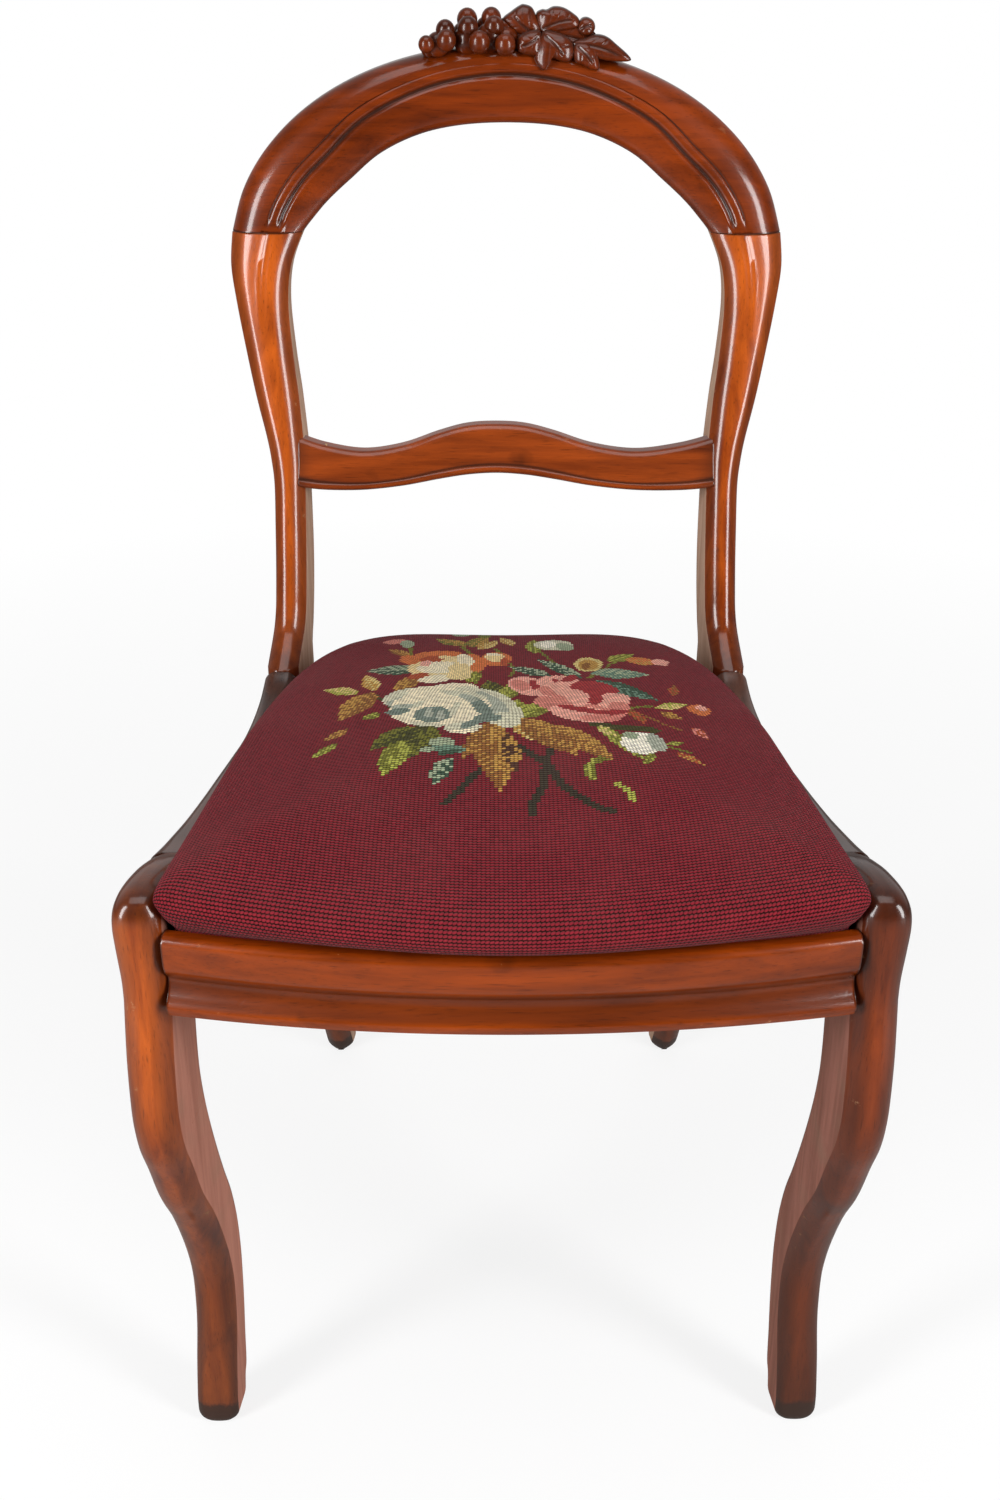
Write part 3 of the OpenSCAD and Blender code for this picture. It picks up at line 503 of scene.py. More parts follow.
class NodeGraph:
    """The nodes of a material or a world, built up one by one."""

    def __init__(self, owner: Material | bpy.types.World) -> None:
        """Starts with the nodes that a new material or world has."""
        owner.use_nodes = True
        self.tree = owner.node_tree

    def add(self, kind: str, inputs: dict | None = None, out: int | str = 0,
            **settings: object) -> NodeSocket:
        """Adds a node, sets or links its inputs, and returns one of its outputs.

        Args:
            kind: The node's type without ShaderNode.
            inputs: Values or sockets for its inputs.
            out: Which output is returned.
            settings: The node's own options.

        Returns:
            The output.
        """
        node = self.tree.nodes.new("ShaderNode" + kind)
        for key, value in settings.items():
            setattr(node, key, value)
        self.feed(node, inputs or {})
        return node.outputs[out]

    def feed(self, node: Node, inputs: dict) -> None:
        """Links each socket that is given as a socket and sets the others.

        Args:
            node: The node.
            inputs: Values or sockets by the input's name or number.
        """
        for key, value in inputs.items():
            if isinstance(value, NodeSocket):
                self.tree.links.new(value, node.inputs[key])
            else:
                node.inputs[key].default_value = value

    def place(self, scale: tuple[float, float, float]) -> NodeSocket:
        """Object coordinates in metres, times a scale for each axis."""
        at = self.add("TexCoord", out="Object")
        return self.add("Mapping", {"Vector": at, "Scale": scale})

    def noise(self, vector: NodeSocket, scale: float, detail: float = 4.0,
              rough: float = 0.5, distort: float = 0.0) -> NodeSocket:
        """Fractal noise from 0 to 1."""
        return self.add("TexNoise", {"Vector": vector, "Scale": scale, "Detail": detail,
                                     "Roughness": rough, "Distortion": distort})

    def span(self, value: NodeSocket, low: float, high: float,
             to_low: float = 0.0, to_high: float = 1.0) -> NodeSocket:
        """Maps a range of a value to another range, clamped."""
        return self.add("MapRange", {"Value": value, "From Min": low, "From Max": high,
                                     "To Min": to_low, "To Max": to_high})

    def math(self, how: str, a: NodeSocket | float, b: NodeSocket | float = 0.0,
             c: NodeSocket | float = 0.0) -> NodeSocket:
        """One arithmetic step."""
        return self.add("Math", {0: a, 1: b, 2: c}, operation=how)

    def mix(self, share: NodeSocket | float, a: NodeSocket | tuple, b: NodeSocket | tuple) -> NodeSocket:
        """Mixes two colours by a share."""
        node = self.tree.nodes.new("ShaderNodeMix")
        node.data_type = "RGBA"
        self.feed(node, {0: share, 6: a, 7: b})
        return node.outputs[2]

    def bump(self, height: NodeSocket, depth: float, strength: float = 1.0,
             normal: NodeSocket | None = None) -> NodeSocket:
        """A bump of depth metres from a height of 0 to 1.

        Args:
            height: The height.
            depth: Metres between height 0 and height 1.
            strength: How much the bump counts.
            normal: A bump that this one lies on.

        Returns:
            The normal.
        """
        inputs = {"Height": height, "Distance": depth, "Strength": strength}
        if normal is not None:
            inputs["Normal"] = normal
        return self.add("Bump", inputs)


class Shader(NodeGraph):
    """One material with a Principled shader."""

    def __init__(self, name: str) -> None:
        """Starts the material."""
        self.material = bpy.data.materials.new(name)
        super().__init__(self.material)
        self.surface = self.tree.nodes["Principled BSDF"]

    def finish(self, **inputs: object) -> Material:
        """Sets the shader's own sockets, named with _ for a space."""
        self.feed(self.surface, {key.replace("_", " "): value for key, value in inputs.items()})
        return self.material


class Grain(Enum):
    """Which way the wood's fibres run."""

    UP = 2
    ACROSS = 0
    BACK = 1

    def scale(self, stretch: float) -> tuple[float, float, float]:
        """Shrinks the pattern's scale along the fibres by stretch."""
        return tuple(1 / stretch if axis == self.value else 1.0 for axis in range(3))


@dataclass(frozen=True)
class PolishedWood:
    """French polished mahogany: grain, pores, colour clouds, dark joints, chipped edges and painted shade."""

    name: str
    light: Colour
    dark: Colour
    # Colour of the dark joints and of the painted shade
    joint_and_shade: Colour = (44, 22, 14)
    chip: Colour = (206, 150, 104)
    grain: Grain = Grain.UP
    polish: float = 0.30
    coat: float = 0.7
    coat_rough: float = 0.13
    chips: float = 0.8
    figure: float = 0.25
    foot: bool = False

    def material(self) -> Material:
        """Mixes the grain's colour from streaks and clouds, then darkens the dark joints and the places
        marked for painted shade.

        Returns:
            The material, which reads the marks edge and joint, and the mark of painted shade.
        """
        s = Shader(self.name)
        plain = s.place((1, 1, 1))
        streaks = s.noise(s.place(self.grain.scale(14.0)), 110.0, detail=6.0, rough=0.62, distort=0.6)
        clouds = s.noise(s.place(self.grain.scale(3.0)), 11.0, detail=3.0)
        pores = s.noise(s.place(self.grain.scale(18.0)), 1100.0, detail=2.0)
        loops = s.noise(s.place(self.grain.scale(5.0)), 16.0, detail=1.0)
        loops = s.math("PINGPONG", s.math("MULTIPLY", loops, 14.0), 1.0)
        tone = s.math("ADD", s.math("MULTIPLY", streaks, 0.50), s.math("MULTIPLY", clouds, 0.60))
        tone = s.math("ADD", tone, s.math("MULTIPLY", s.math("SUBTRACT", loops, 0.5), self.figure * 0.3))
        colour = s.mix(s.span(tone, 0.38, 0.74), linear(*self.dark), linear(*self.light))
        colour = s.mix(s.span(pores, 0.58, 0.76, 0.0, 0.5), colour, linear(*(c // 3 for c in self.dark)))
        rubbed = s.noise(plain, 60.0, detail=5.0, rough=0.7)
        dents = s.noise(plain, 130.0, detail=2.0)
        spots = s.span(s.noise(plain, 24.0, detail=3.0), 0.66, 0.76, 0.0, 0.5)
        colour = s.mix(spots, colour, linear(*(c // 2 for c in self.dark)))
        edge = s.add("Attribute", attribute_name="edge", out="Fac")
        worn = s.math("MULTIPLY", s.span(rubbed, 0.62, 0.68), s.span(dents, 0.57, 0.64))
        bare = s.math("MULTIPLY", edge, worn)
        colour = s.mix(s.math("MULTIPLY", bare, self.chips), colour, linear(*self.chip))
        # Painted shade where the pieces mark it, together with the dark joints
        painted_shade = s.math("MAXIMUM", s.add("Attribute", attribute_name="painted_shade", out="Fac"),
                      s.add("Attribute", attribute_name="joint", out="Fac"))
        colour = s.mix(s.math("MULTIPLY", painted_shade, 0.92), colour, linear(*self.joint_and_shade))
        rough = s.math("ADD", s.span(clouds, 0.3, 0.7, self.polish - 0.05, self.polish + 0.08),
                       s.math("MULTIPLY", bare, 0.3))
        if self.foot:
            height = s.add("SeparateXYZ", {0: s.add("TexCoord", out="Object")}, out=2)
            uneven = s.math("ADD", height, s.math("MULTIPLY", s.math("SUBTRACT", rubbed, 0.5), 0.02))
            # A scuffed band just over the floor, then painted shade that darkens the legs and posts from the
            # floor up to 0.36 m
            scuff_and_shade = s.math("ADD", s.span(uneven, 0.017, 0.021, 0.3, 0.0),
                           s.span(uneven, 0.01, 0.36, 0.68, 0.0))
            colour = s.mix(scuff_and_shade, colour, linear(52, 34, 26))
            rough = s.math("ADD", rough, s.math("MULTIPLY", scuff_and_shade, 0.35))
        normal = s.bump(pores, 0.00005, 0.5)
        normal = s.bump(streaks, 0.00012, 0.3, normal)
        normal = s.bump(s.span(dents, 0.66, 0.80, 1.0, 0.0), 0.0002, 0.4, normal)
        return s.finish(Base_Color=colour, Roughness=rough, Normal=normal, IOR=1.5, Specular_IOR_Level=0.2,
                        Coat_Weight=self.coat, Coat_Roughness=self.coat_rough, Coat_IOR=1.5)


@dataclass(frozen=True)
class RawWood:
    """Sawn or turned wood without a finish."""

    name: str
    light: Colour
    dark: Colour
    grain: Grain = Grain.ACROSS

    def material(self) -> Material:
        """Dull grain with a little dust.

        Returns:
            The material.
        """
        s = Shader(self.name)
        streaks = s.noise(s.place(self.grain.scale(16.0)), 140.0, detail=6.0, rough=0.6, distort=0.4)
        dust = s.noise(s.place((1, 1, 1)), 30.0, detail=5.0)
        colour = s.mix(s.span(streaks, 0.32, 0.68), linear(*self.dark), linear(*self.light))
        colour = s.mix(s.span(dust, 0.5, 0.8, 0.0, 0.35), colour, linear(120, 104, 84))
        return s.finish(Base_Color=colour, Roughness=s.span(dust, 0.3, 0.7, 0.62, 0.82),
                        Normal=s.bump(streaks, 0.0004, 0.6))


@dataclass(frozen=True)
class Steel:
    """Dull steel of screws and tacks."""

    name: str
    colour: Colour

    def material(self) -> Material:
        """Metal with tarnish spots.

        Returns:
            The material.
        """
        s = Shader(self.name)
        spots = s.noise(s.place((1, 1, 1)), 400.0, detail=5.0)
        colour = s.mix(s.span(spots, 0.5, 0.75), linear(*self.colour), linear(84, 62, 46))
        return s.finish(Base_Color=colour, Roughness=s.span(spots, 0.3, 0.7, 0.32, 0.6), Metallic=1.0,
                        Normal=s.bump(spots, 0.0001, 0.4))


@dataclass(frozen=True)
class PlainWeave:
    """Cloth or strap in plain weave, in the plane of the seat."""

    name: str
    light: Colour
    dark: Colour
    pitch: float

    def material(self) -> Material:
        """Two crossing sets of threads from sine waves, with uneven yarn.

        Returns:
            The material.
        """
        s = Shader(self.name)
        x, y, _ = (s.add("SeparateXYZ", {0: s.add("TexCoord", out="Object")}, out=k) for k in range(3))
        turn = math.tau / self.pitch / 2
        wave_x = s.math("SINE", s.math("MULTIPLY", x, turn))
        wave_y = s.math("SINE", s.math("MULTIPLY", y, turn))
        threads = s.span(s.math("ABSOLUTE", s.math("MULTIPLY", wave_x, wave_y)), 0.0, 1.0)
        yarn = s.noise(s.place((1, 1, 1)), 300.0, detail=4.0)
        lift = s.math("ADD", s.math("MULTIPLY", threads, 0.7), s.math("MULTIPLY", yarn, 0.3))
        colour = s.mix(s.span(lift, 0.2, 0.75), linear(*self.dark), linear(*self.light))
        return s.finish(Base_Color=colour, Roughness=0.92, Sheen_Weight=0.2, Sheen_Roughness=0.5,
                        Normal=s.bump(lift, self.pitch * 0.4, 0.7))


# The wooden frame


@dataclass
class FrontLeg:
    """Cabriole front leg with its knee block, cut from one board."""

    side: Side
    radius: float = 12.0
    foot_radius: float = 5.0
    crown: float = 1.5
    strip_front: float = 48.5
    strip_low: float = 299.0
    strip_top: float = 394.0
    seam: float = 0.15
    sweep: tuple = (
        (0.622, 0.000, 0.795, 0.000), (0.602, 0.011, 0.845, 0.012), (0.598, 0.039, 0.885, 0.047),
        (0.610, 0.065, 0.931, 0.066), (0.640, 0.116, 0.960, 0.118), (0.685, 0.1625, 0.995, 0.175),
        (0.708, 0.207, 1.015, 0.228), (0.706, 0.253, 1.020, 0.280), (0.655, 0.304, 0.990, 0.342),
        (0.558, 0.361, 0.915, 0.402), (0.415, 0.428, 0.805, 0.459), (0.245, 0.492, 0.680, 0.532),
        (0.110, 0.562, 0.575, 0.606), (0.010, 0.611, 0.515, 0.669), (-0.040, 0.657, 0.505, 0.711),
        (-0.045, 0.705, 0.515, 0.754), (-0.030, 0.760, 0.535, 0.796), (0.000, 0.810, 0.550, 0.823))
    knee: tuple = (
        (0.025, 0.844, 0.00), (0.030, 0.882, 0.08), (0.010, 0.932, 0.17), (0.000, 0.968, 0.26),
        (0.033, 0.989, 0.37), (0.125, 0.999, 0.48), (0.265, 1.000, 0.61), (0.445, 0.995, 0.75),
        (0.625, 0.985, 0.88), (0.785, 0.972, 1.00))

    def rings(self) -> tuple[Array, Array]:
        """Rings from the foot up the sweep and over the knee to the side rail.

        Returns:
            The rings, and the mark of their rounded corners.
        """
        s, foot, knee = SIZES, np.array(self.sweep), np.array(self.knee)
        last_y = s.knee_set + s.leg_sweep * foot[-1, 2]
        low = np.column_stack([s.knee_set + s.leg_sweep * foot[:, 0], s.knee_h * foot[:, 1],
                               s.knee_set + s.leg_sweep * foot[:, 2], s.knee_h * foot[:, 3]])
        high = np.column_stack([s.knee_set + s.leg_sweep * knee[:, 0], s.knee_h * knee[:, 1],
                                last_y + (s.leg_back_y - last_y) * knee[:, 2], np.full(len(knee), s.under_h)])
        rows = np.vstack([smooth_rows(low, 8), smooth_rows(high, 8)])
        edge = self.foot_radius * 0.9 * np.maximum(0, 1 - rows[:, 1] / (2 * self.foot_radius)) ** 2
        radius = self.foot_radius + (self.radius - self.foot_radius) * smoothstep(10.0, 90.0, rows[:, 1])
        return board_rings(rows[:, :2], rows[:, 2:], edge, s.leg_t - edge, radius, self.radius / 3,
                           relief=crowned(self.crown))

    def build(self, finish: Material, inside: Material, strip: Material) -> None:
        """Makes the leg, and the strip that is glued behind the top of the left one.

        Args:
            finish: The polish.
            inside: The unpolished inner side's wood.
            strip: The strip's polish.
        """
        s = SIZES
        rings, edge = self.rings()
        rings[..., 0] *= self.side.value
        top = smoothstep(0.955, 0.985, rings[..., 2] / s.knee_h)
        name = f"{self.side.name.lower()}_front_leg"

        def carved(piece: str, wood: Material, node: str) -> Object:
            """The whole leg's form under another name and finish."""
            # The knee tops made darker, and painted shade along the rounded edges below them
            marks = {"edge": edge, "painted_shade": 0.85 * top + 0.45 * edge * (1 - top)}
            loft = lofted(piece, rings, marks, SECTION.inner_face())
            return loft.build(wood, "polished_mahogany", node, unpolished=inside)

        leg = carved(name + "_polished", finish, name)
        if self.side is Side.LEFT:
            slip = carved("left_leg_strip_polished", strip, "left_leg_strip")
            room = np.array([[-s.half_w - s.leg_t, self.strip_front, self.strip_low],
                             [-s.half_w + 2 * s.leg_t, s.leg_back_y + s.leg_t, self.strip_top]])
            cut(leg, room, "DIFFERENCE")
            cut(slip, room + self.seam * np.array([[1], [-1]]), "INTERSECT")


@dataclass
class BackPost:
    """Rear leg and back post in one curved board, swelling into the balloon."""

    side: Side
    radius: float = 10.5
    foot_radius: float = 5.0
    crown_share: float = 0.14
    ridge_run: float = 75.0
    shade_under: float = 20.0
    shade_over: float = 45.0
    rear: tuple = (
        (0, 0.865, 0.965), (0.014, 0.840, 0.985), (0.05, 0.790, 0.965), (0.158, 0.660, 0.847),
        (0.284, 0.535, 0.739), (0.410, 0.433, 0.646), (0.535, 0.338, 0.570), (0.661, 0.258, 0.503),
        (0.786, 0.185, 0.452), (0.900, 0.134, 0.420), (0.967, 0.104, 0.401), (0.990, 0.052, 0.395))
    upper: tuple = (
        (0.000, 0.000, 0.385, 0, 0, 1), (0.022, 0.054, 0.400, 0, 0, 1), (0.048, 0.118, 0.424, 0, 0, 1),
        (0.075, 0.172, 0.443, 0, 0, 1), (0.111, 0.213, 0.465, 0, 0, 1), (0.151, 0.236, 0.484, 0, 0, 1),
        (0.224, 0.268, 0.508, 0, 0, 1), (0.304, 0.296, 0.525, 0, 0, 0.95), (0.414, 0.331, 0.545, 0, 0, 0.80),
        (0.475, 0.353, 0.562, 0.06, 0, 0.65), (0.530, 0.376, 0.586, 0.16, 0.10, 0.50),
        (0.625, 0.421, 0.625, 0.40, 0.35, 0.35), (0.725, 0.472, 0.672, 0.62, 0.70, 0.20),
        (0.840, 0.535, 0.725, 0.86, 1.00, 0.10), (0.925, 0.578, 0.765, 0.99, 0.85, 0.03),
        (1.000, 0.618, 0.803, 0.965, 0.20, 0.00))

    def ridge(self, height: Array, width: Array) -> Relief:
        """The front face: a soft ridge under the crest joint with a hollow inside it.

        Args:
            height: How far each ring lies under the joint.
            width: Each ring's width.

        Returns:
            The depth of the front face as board_rings takes it.
        """
        fade = 1 - smoothstep(self.ridge_run * 0.2, self.ridge_run, height)
        middle = 0.42 + 0.08 * fade

        def depth(across: Array, ring: Array) -> Array:
            """Crown minus ridge plus hollow, each a bell curve over the distance from the ridge."""
            away = (across - middle[ring]) * width[ring]
            raised = 0.9 * np.exp(-(away / 1.7) ** 2) - 1.1 * np.exp(-((away - 3.4) / 2.2) ** 2)
            fall = self.crown_share * width[ring] * (1 - 4 * across * (1 - across))
            return fall - fade[ring] * raised

        return depth

    def front_share(self, height: Array) -> Array:
        """The front edge's share of post_set and the splay's strength at the height.

        Args:
            height: Heights in millimetres.

        Returns:
            Both values, for each height.
        """
        s, upper = SIZES, smooth_rows(np.array(self.upper, float), 2)
        share = (height - s.horn_h) / (s.joint_h - s.horn_h)
        return np.stack([np.interp(share, upper[:, 0], upper[:, k]) for k in (1, 5)])

    def rings(self) -> tuple[Array, Array]:
        """Rings from the heel up to the crest joint.

        Returns:
            The rings, and the mark of their rounded corners.
        """
        s, rear, upper = SIZES, np.array(self.rear, float), np.array(self.upper, float)
        horn_h = s.horn_h
        ones, zeros = np.ones(len(rear)), np.zeros(len(rear))
        low = np.column_stack([s.post_y + s.rear_kick * rear[:, 1], s.under_h * rear[:, 0],
                               s.post_y + s.rear_kick * rear[:, 2], s.under_h * rear[:, 0],
                               zeros, zeros, ones])
        rise = s.under_h + (horn_h - s.under_h) * np.array([0, 0.35, 0.7])
        flat = np.ones(3)
        middle = np.column_stack([s.post_y * flat, rise, (s.post_y + s.post_set * 0.39) * flat, rise,
                                  0 * flat, 0 * flat, flat])
        height = horn_h + (s.joint_h - horn_h) * upper[:, 0]
        high = np.column_stack([s.post_y + s.post_set * upper[:, 1], height,
                                s.post_y + s.post_set * upper[:, 2], height, upper[:, 3:]])
        rows = np.vstack([smooth_rows(low, 6), middle, smooth_rows(high, 8)])
        edge = self.foot_radius * 0.9 * np.maximum(0, 1 - rows[:, 1] / (2 * self.foot_radius)) ** 2
        outer, inner = edge - s.swell * rows[:, 4], s.post_t - edge - s.inner_swell * rows[:, 5]
        return board_rings(rows[:, :2], rows[:, 2:4], outer, inner, self.radius, self.radius * 0.45,
                           rows[:, 6], self.ridge(s.joint_h - rows[:, 1], inner - outer))

    def build(self, finish: Material, inside: Material) -> None:
        """Makes the post.

        Args:
            finish: The polish.
            inside: The unpolished inner side's wood.
        """
        s = SIZES
        rings, edge = self.rings()
        rings[..., 0] *= self.side.value
        height = rings[..., 2]
        # Painted shade on the post beside the seat, and along its rounded edges elsewhere
        low = (smoothstep(s.under_h, s.under_h + self.shade_under, height)
               * (1 - smoothstep(s.horn_h, s.horn_h + self.shade_over, height)))
        name = f"{self.side.name.lower()}_back_post"
        loft = lofted(name + "_polished", rings, {"edge": edge, "painted_shade": 0.75 * low + 0.5 * edge * (1 - low)},
                      SECTION.inner_face())
        loft.build(finish, "polished_mahogany", name, unpolished=inside)


@dataclass
class SideRail:
    """Side rail with a scooped top edge between knee block and post."""

    side: Side
    radius: float = 8.0
    top: tuple = (
        (0, 1.206), (0.063, 1.128), (0.122, 1.068), (0.245, 0.957), (0.388, 0.868), (0.507, 0.812),
        (0.636, 0.752), (0.752, 0.710), (0.853, 0.758), (0.937, 0.868), (1, 1.047))

    def build(self, finish: Material) -> None:
        """Makes the rail, its thickness easing from the leg's to the post's.

        Args:
            finish: The polish.
        """
        s, top = SIZES, np.array(self.top)
        rows = smooth_rows(np.column_stack([s.leg_back_y + (s.post_y - s.leg_back_y) * top[:, 0],
                                            s.under_h + s.front_rail_h * top[:, 1], top[:, 0]]), 6)
        under = np.column_stack([rows[:, 0], np.full(len(rows), s.under_h)])
        rings, edge = board_rings(rows[:, :2], under, np.zeros(len(rows)),
                                  s.leg_t + (s.post_t - s.leg_t) * rows[:, 2], self.radius, self.radius / 2,
                                  relief=crowned(1.0))
        rings[..., 0] *= self.side.value
        name = f"{self.side.name.lower()}_side_rail"
        lofted(name + "_polished", rings, {"edge": edge}).build(finish, "polished_mahogany", name)


@dataclass
class FrontRail:
    """Bowed front rail with a moulded face and a rebate that carries the seat."""

    section: tuple = (
        (0.40, 0.700, 1), (0.40, 1.00, 1), (0.16, 1.00, 1), (0.05, 0.965, 1), (0.00, 0.90, 1),
        (0.02, 0.66, 1), (0.10, 0.54, 1), (0.30, 0.42, 0.97), (0.34, 0.36, 0.95), (0.24, 0.24, 0.90),
        (0.02, 0.14, 0.86), (-0.02, 0.08, 0.85), (0.04, 0.00, 0.85))

    def build(self, finish: Material) -> None:
        """Carries the section along the bow, from the left leg to the right one.

        A station at the share q of the half length bows back by knee_set times q squared,
        and each row of the section follows that bow by its third share.

        Args:
            finish: The polish.
        """
        s = SIZES
        q = np.linspace(-1, 1, 49)[:, None]
        face = smooth_rows(np.array(self.section)[2:], 4)
        section = np.vstack([np.array(self.section)[:2], face, [[1, 0, 0], [1, 0.698, 0]]])
        back, up, follow = section.T[:, None, :]
        y = s.knee_set * (1 - follow) + s.knee_set * q**2 * follow + s.front_rail_t * back
        y[:, :2] = s.front_lip + s.knee_set * q**2
        z = s.under_h + s.front_rail_h * up + 0 * q
        x = q * (s.side_x(y) - s.leg_t)
        worn = np.exp(-((up - 0.99) / 0.03) ** 2) + np.exp(-((up - 0.06) / 0.06) ** 2)
        # Painted shade and reflection on the sloping face of the cove
        cove_shade = 0.5 * smoothstep(0.10, 0.17, up) * (1 - smoothstep(0.42, 0.52, up)) * (back < 0.5)
        marks = {"edge": np.tile(worn, (len(q), 1)), "painted_shade": np.tile(cove_shade, (len(q), 1))}
        rail = lofted("front_rail_polished", np.stack([x, y, z], axis=-1), marks)
        rail.build(finish, "polished_mahogany", "front_rail")


@dataclass
class CrestRail:
    """Arched crest rail with a moulded front: outer band, bead, groove and inner roll."""

    power: float = 2.05
    roll: float = 0.42
    inner: tuple = ((1, 0), (0.957, 0.105), (0.876, 0.283), (0.764, 0.480), (0.617, 0.717),
                    (0.430, 0.888), (0.230, 0.974), (0, 1))
    bead: tuple = (0.55, 0.53, 0.51, 0.50, 0.42, 0.36, 0.295, 0.263)
    # Each point across the front: shares of the outer band, the bead's width and the inner
    # band, then its depth as shares of the roll and of the groove, and its wear; a negative
    # wear marks painted shade in the groove beside the bead
    profile: tuple = (
        (0, 0, 0, 1, 0, 0), (0.02, 0, 0, 0.86, 0, 0), (0.06, 0, 0, 0.71, 0, 0.3), (0.12, 0, 0, 0.54, 0, 0.5),
        (0.20, 0, 0, 0.38, 0, 0.6), (0.30, 0, 0, 0.24, 0, 0.4), (0.41, 0, 0, 0.13, 0, 0.1),
        (0.54, 0, 0, 0.055, 0, 0), (0.68, 0, 0, 0.015, 0, 0), (0.82, 0, 0, 0, 0, 0), (1, -1.0, 0, 0, 0.08, 0),
        (1, -0.70, 0, 0, 0.16, 0), (1, -0.52, 0, 0, 0.40, -1), (1, -0.40, 0, 0, 0.12, 0),
        (1, -0.25, 0, 0, -0.04, 1), (1, -0.05, 0, 0, -0.10, 1), (1, 0.15, 0, 0, -0.06, 1),
        (1, 0.35, 0, 0, 0.12, 0), (1, 0.50, 0, 0, 0.50, -0.5), (1, 0.62, 0, 0, 0.95, -1),
        (1, 0.74, 0, 0, 1.05, -1), (1, 0.88, 0, 0, 0.85, -0.7), (1, 1.02, 0, 0, 0.45, 0),
        (1, 1.20, 0, 0.02, 0.15, 0.3), (1, 0, 0.38, 0.07, 0, 0), (1, 0, 0.46, 0.12, 0, 0),
        (1, 0, 0.54, 0.175, 0, 0), (1, 0, 0.62, 0.235, 0, 0), (1, 0, 0.70, 0.30, 0, 0),
        (1, 0, 0.78, 0.375, 0, 0), (1, 0, 0.86, 0.465, 0, 0), (1, 0, 0.92, 0.56, 0, 0),
        (1, 0, 0.965, 0.69, 0, 0), (1, 0, 0.99, 0.84, 0, 0), (1, 0, 1, 1, 0, 0))

    def stations(self) -> Array:
        """Rows [outer x, outer z, inner x, inner z, bead share, strength] round the arch.

        The outer arch is a superellipse, x = a cos^(2/p) and z = b sin^(2/p); the inner
        one runs through given shares of its half width and rise.

        Returns:
            The rows from the right joint over the top to the left one.
        """
        s, inner = SIZES, np.array(self.inner, float)
        outer_x = s.side_x(s.joint_y) + s.swell * 0.965
        inner_x = s.side_x(s.joint_y) - s.post_t + s.inner_swell * 0.20
        b = s.crest_h - s.joint_h + s.crest_shoulder
        start = math.asin((s.crest_shoulder / b) ** (self.power / 2))
        a = outer_x / math.cos(start) ** (2 / self.power)
        angle = np.linspace(start, math.pi / 2, len(inner))
        rise = s.crest_h - s.crest_rail_h - s.joint_h
        strength = np.ones(len(inner))
        rows = np.column_stack([
            a * np.maximum(0, np.cos(angle)) ** (2 / self.power),
            s.joint_h - s.crest_shoulder + b * np.sin(angle) ** (2 / self.power),
            inner_x * inner[:, 0], s.joint_h + rise * inner[:, 1], self.bead, strength])
        mirrored = rows[-2::-1] * [-1, 1, -1, 1, 1, 1]
        fine = smooth_rows(np.vstack([rows, mirrored]), 12)
        middle = (fine[:, :2] + fine[:, 2:4]) / 2
        run = np.concatenate([[0], np.cumsum(np.linalg.norm(np.diff(middle, axis=0), axis=1))])
        from_end = np.minimum(run, run[-1] - run)
        fine[:, 5] = smoothstep(2.0, 12.0, from_end)
        return fine

    def build(self, finish: Material) -> None:
        """Carries the moulding's profile round the arch.

        Args:
            finish: The polish.
        """
        s, rows, p = SIZES, self.stations(), np.array(self.profile, float)
        outer, inner = rows[:, None, 0:2], rows[:, None, 2:4]
        width = np.linalg.norm(inner - outer, axis=-1)
        bead, roll = width * rows[:, 4:5], s.crest_t * self.roll
        place = bead * p[:, 0] + s.bead_w * p[:, 1] + (width - bead) * p[:, 2]
        depth = roll * p[:, 3] + s.groove_d * p[:, 4] * rows[:, 5:6]
        turn = np.radians(np.linspace(0, 90, 6))
        r = roll * 0.4
        back_place = np.hstack([width - r + r * np.cos(turn), 0 * width + r - r * np.sin(turn)])
        back_depth = s.crest_t - r + r * np.concatenate([np.sin(turn), np.cos(turn)])
        back_depth = np.tile(back_depth, (len(rows), 1))
        place, depth = np.hstack([place, back_place]), np.hstack([depth, back_depth])
        at = outer + (inner - outer) * (place / width)[..., None]
        rings = np.stack([at[..., 0], s.back_plane_y(at[..., 1]) + depth, at[..., 1]], axis=-1)
        wear_and_shade = np.tile(np.concatenate([p[:, 5], np.zeros(back_place.shape[1])]), (len(rows), 1))
        # Positive values are wear; negative ones are painted shade, faded out near the joints
        marks = {"edge": np.maximum(0, wear_and_shade), "painted_shade": np.maximum(0, -wear_and_shade) * rows[:, 5:6]}
        lofted("crest_rail_polished", rings, marks).build(finish, "polished_mahogany", "crest_rail")


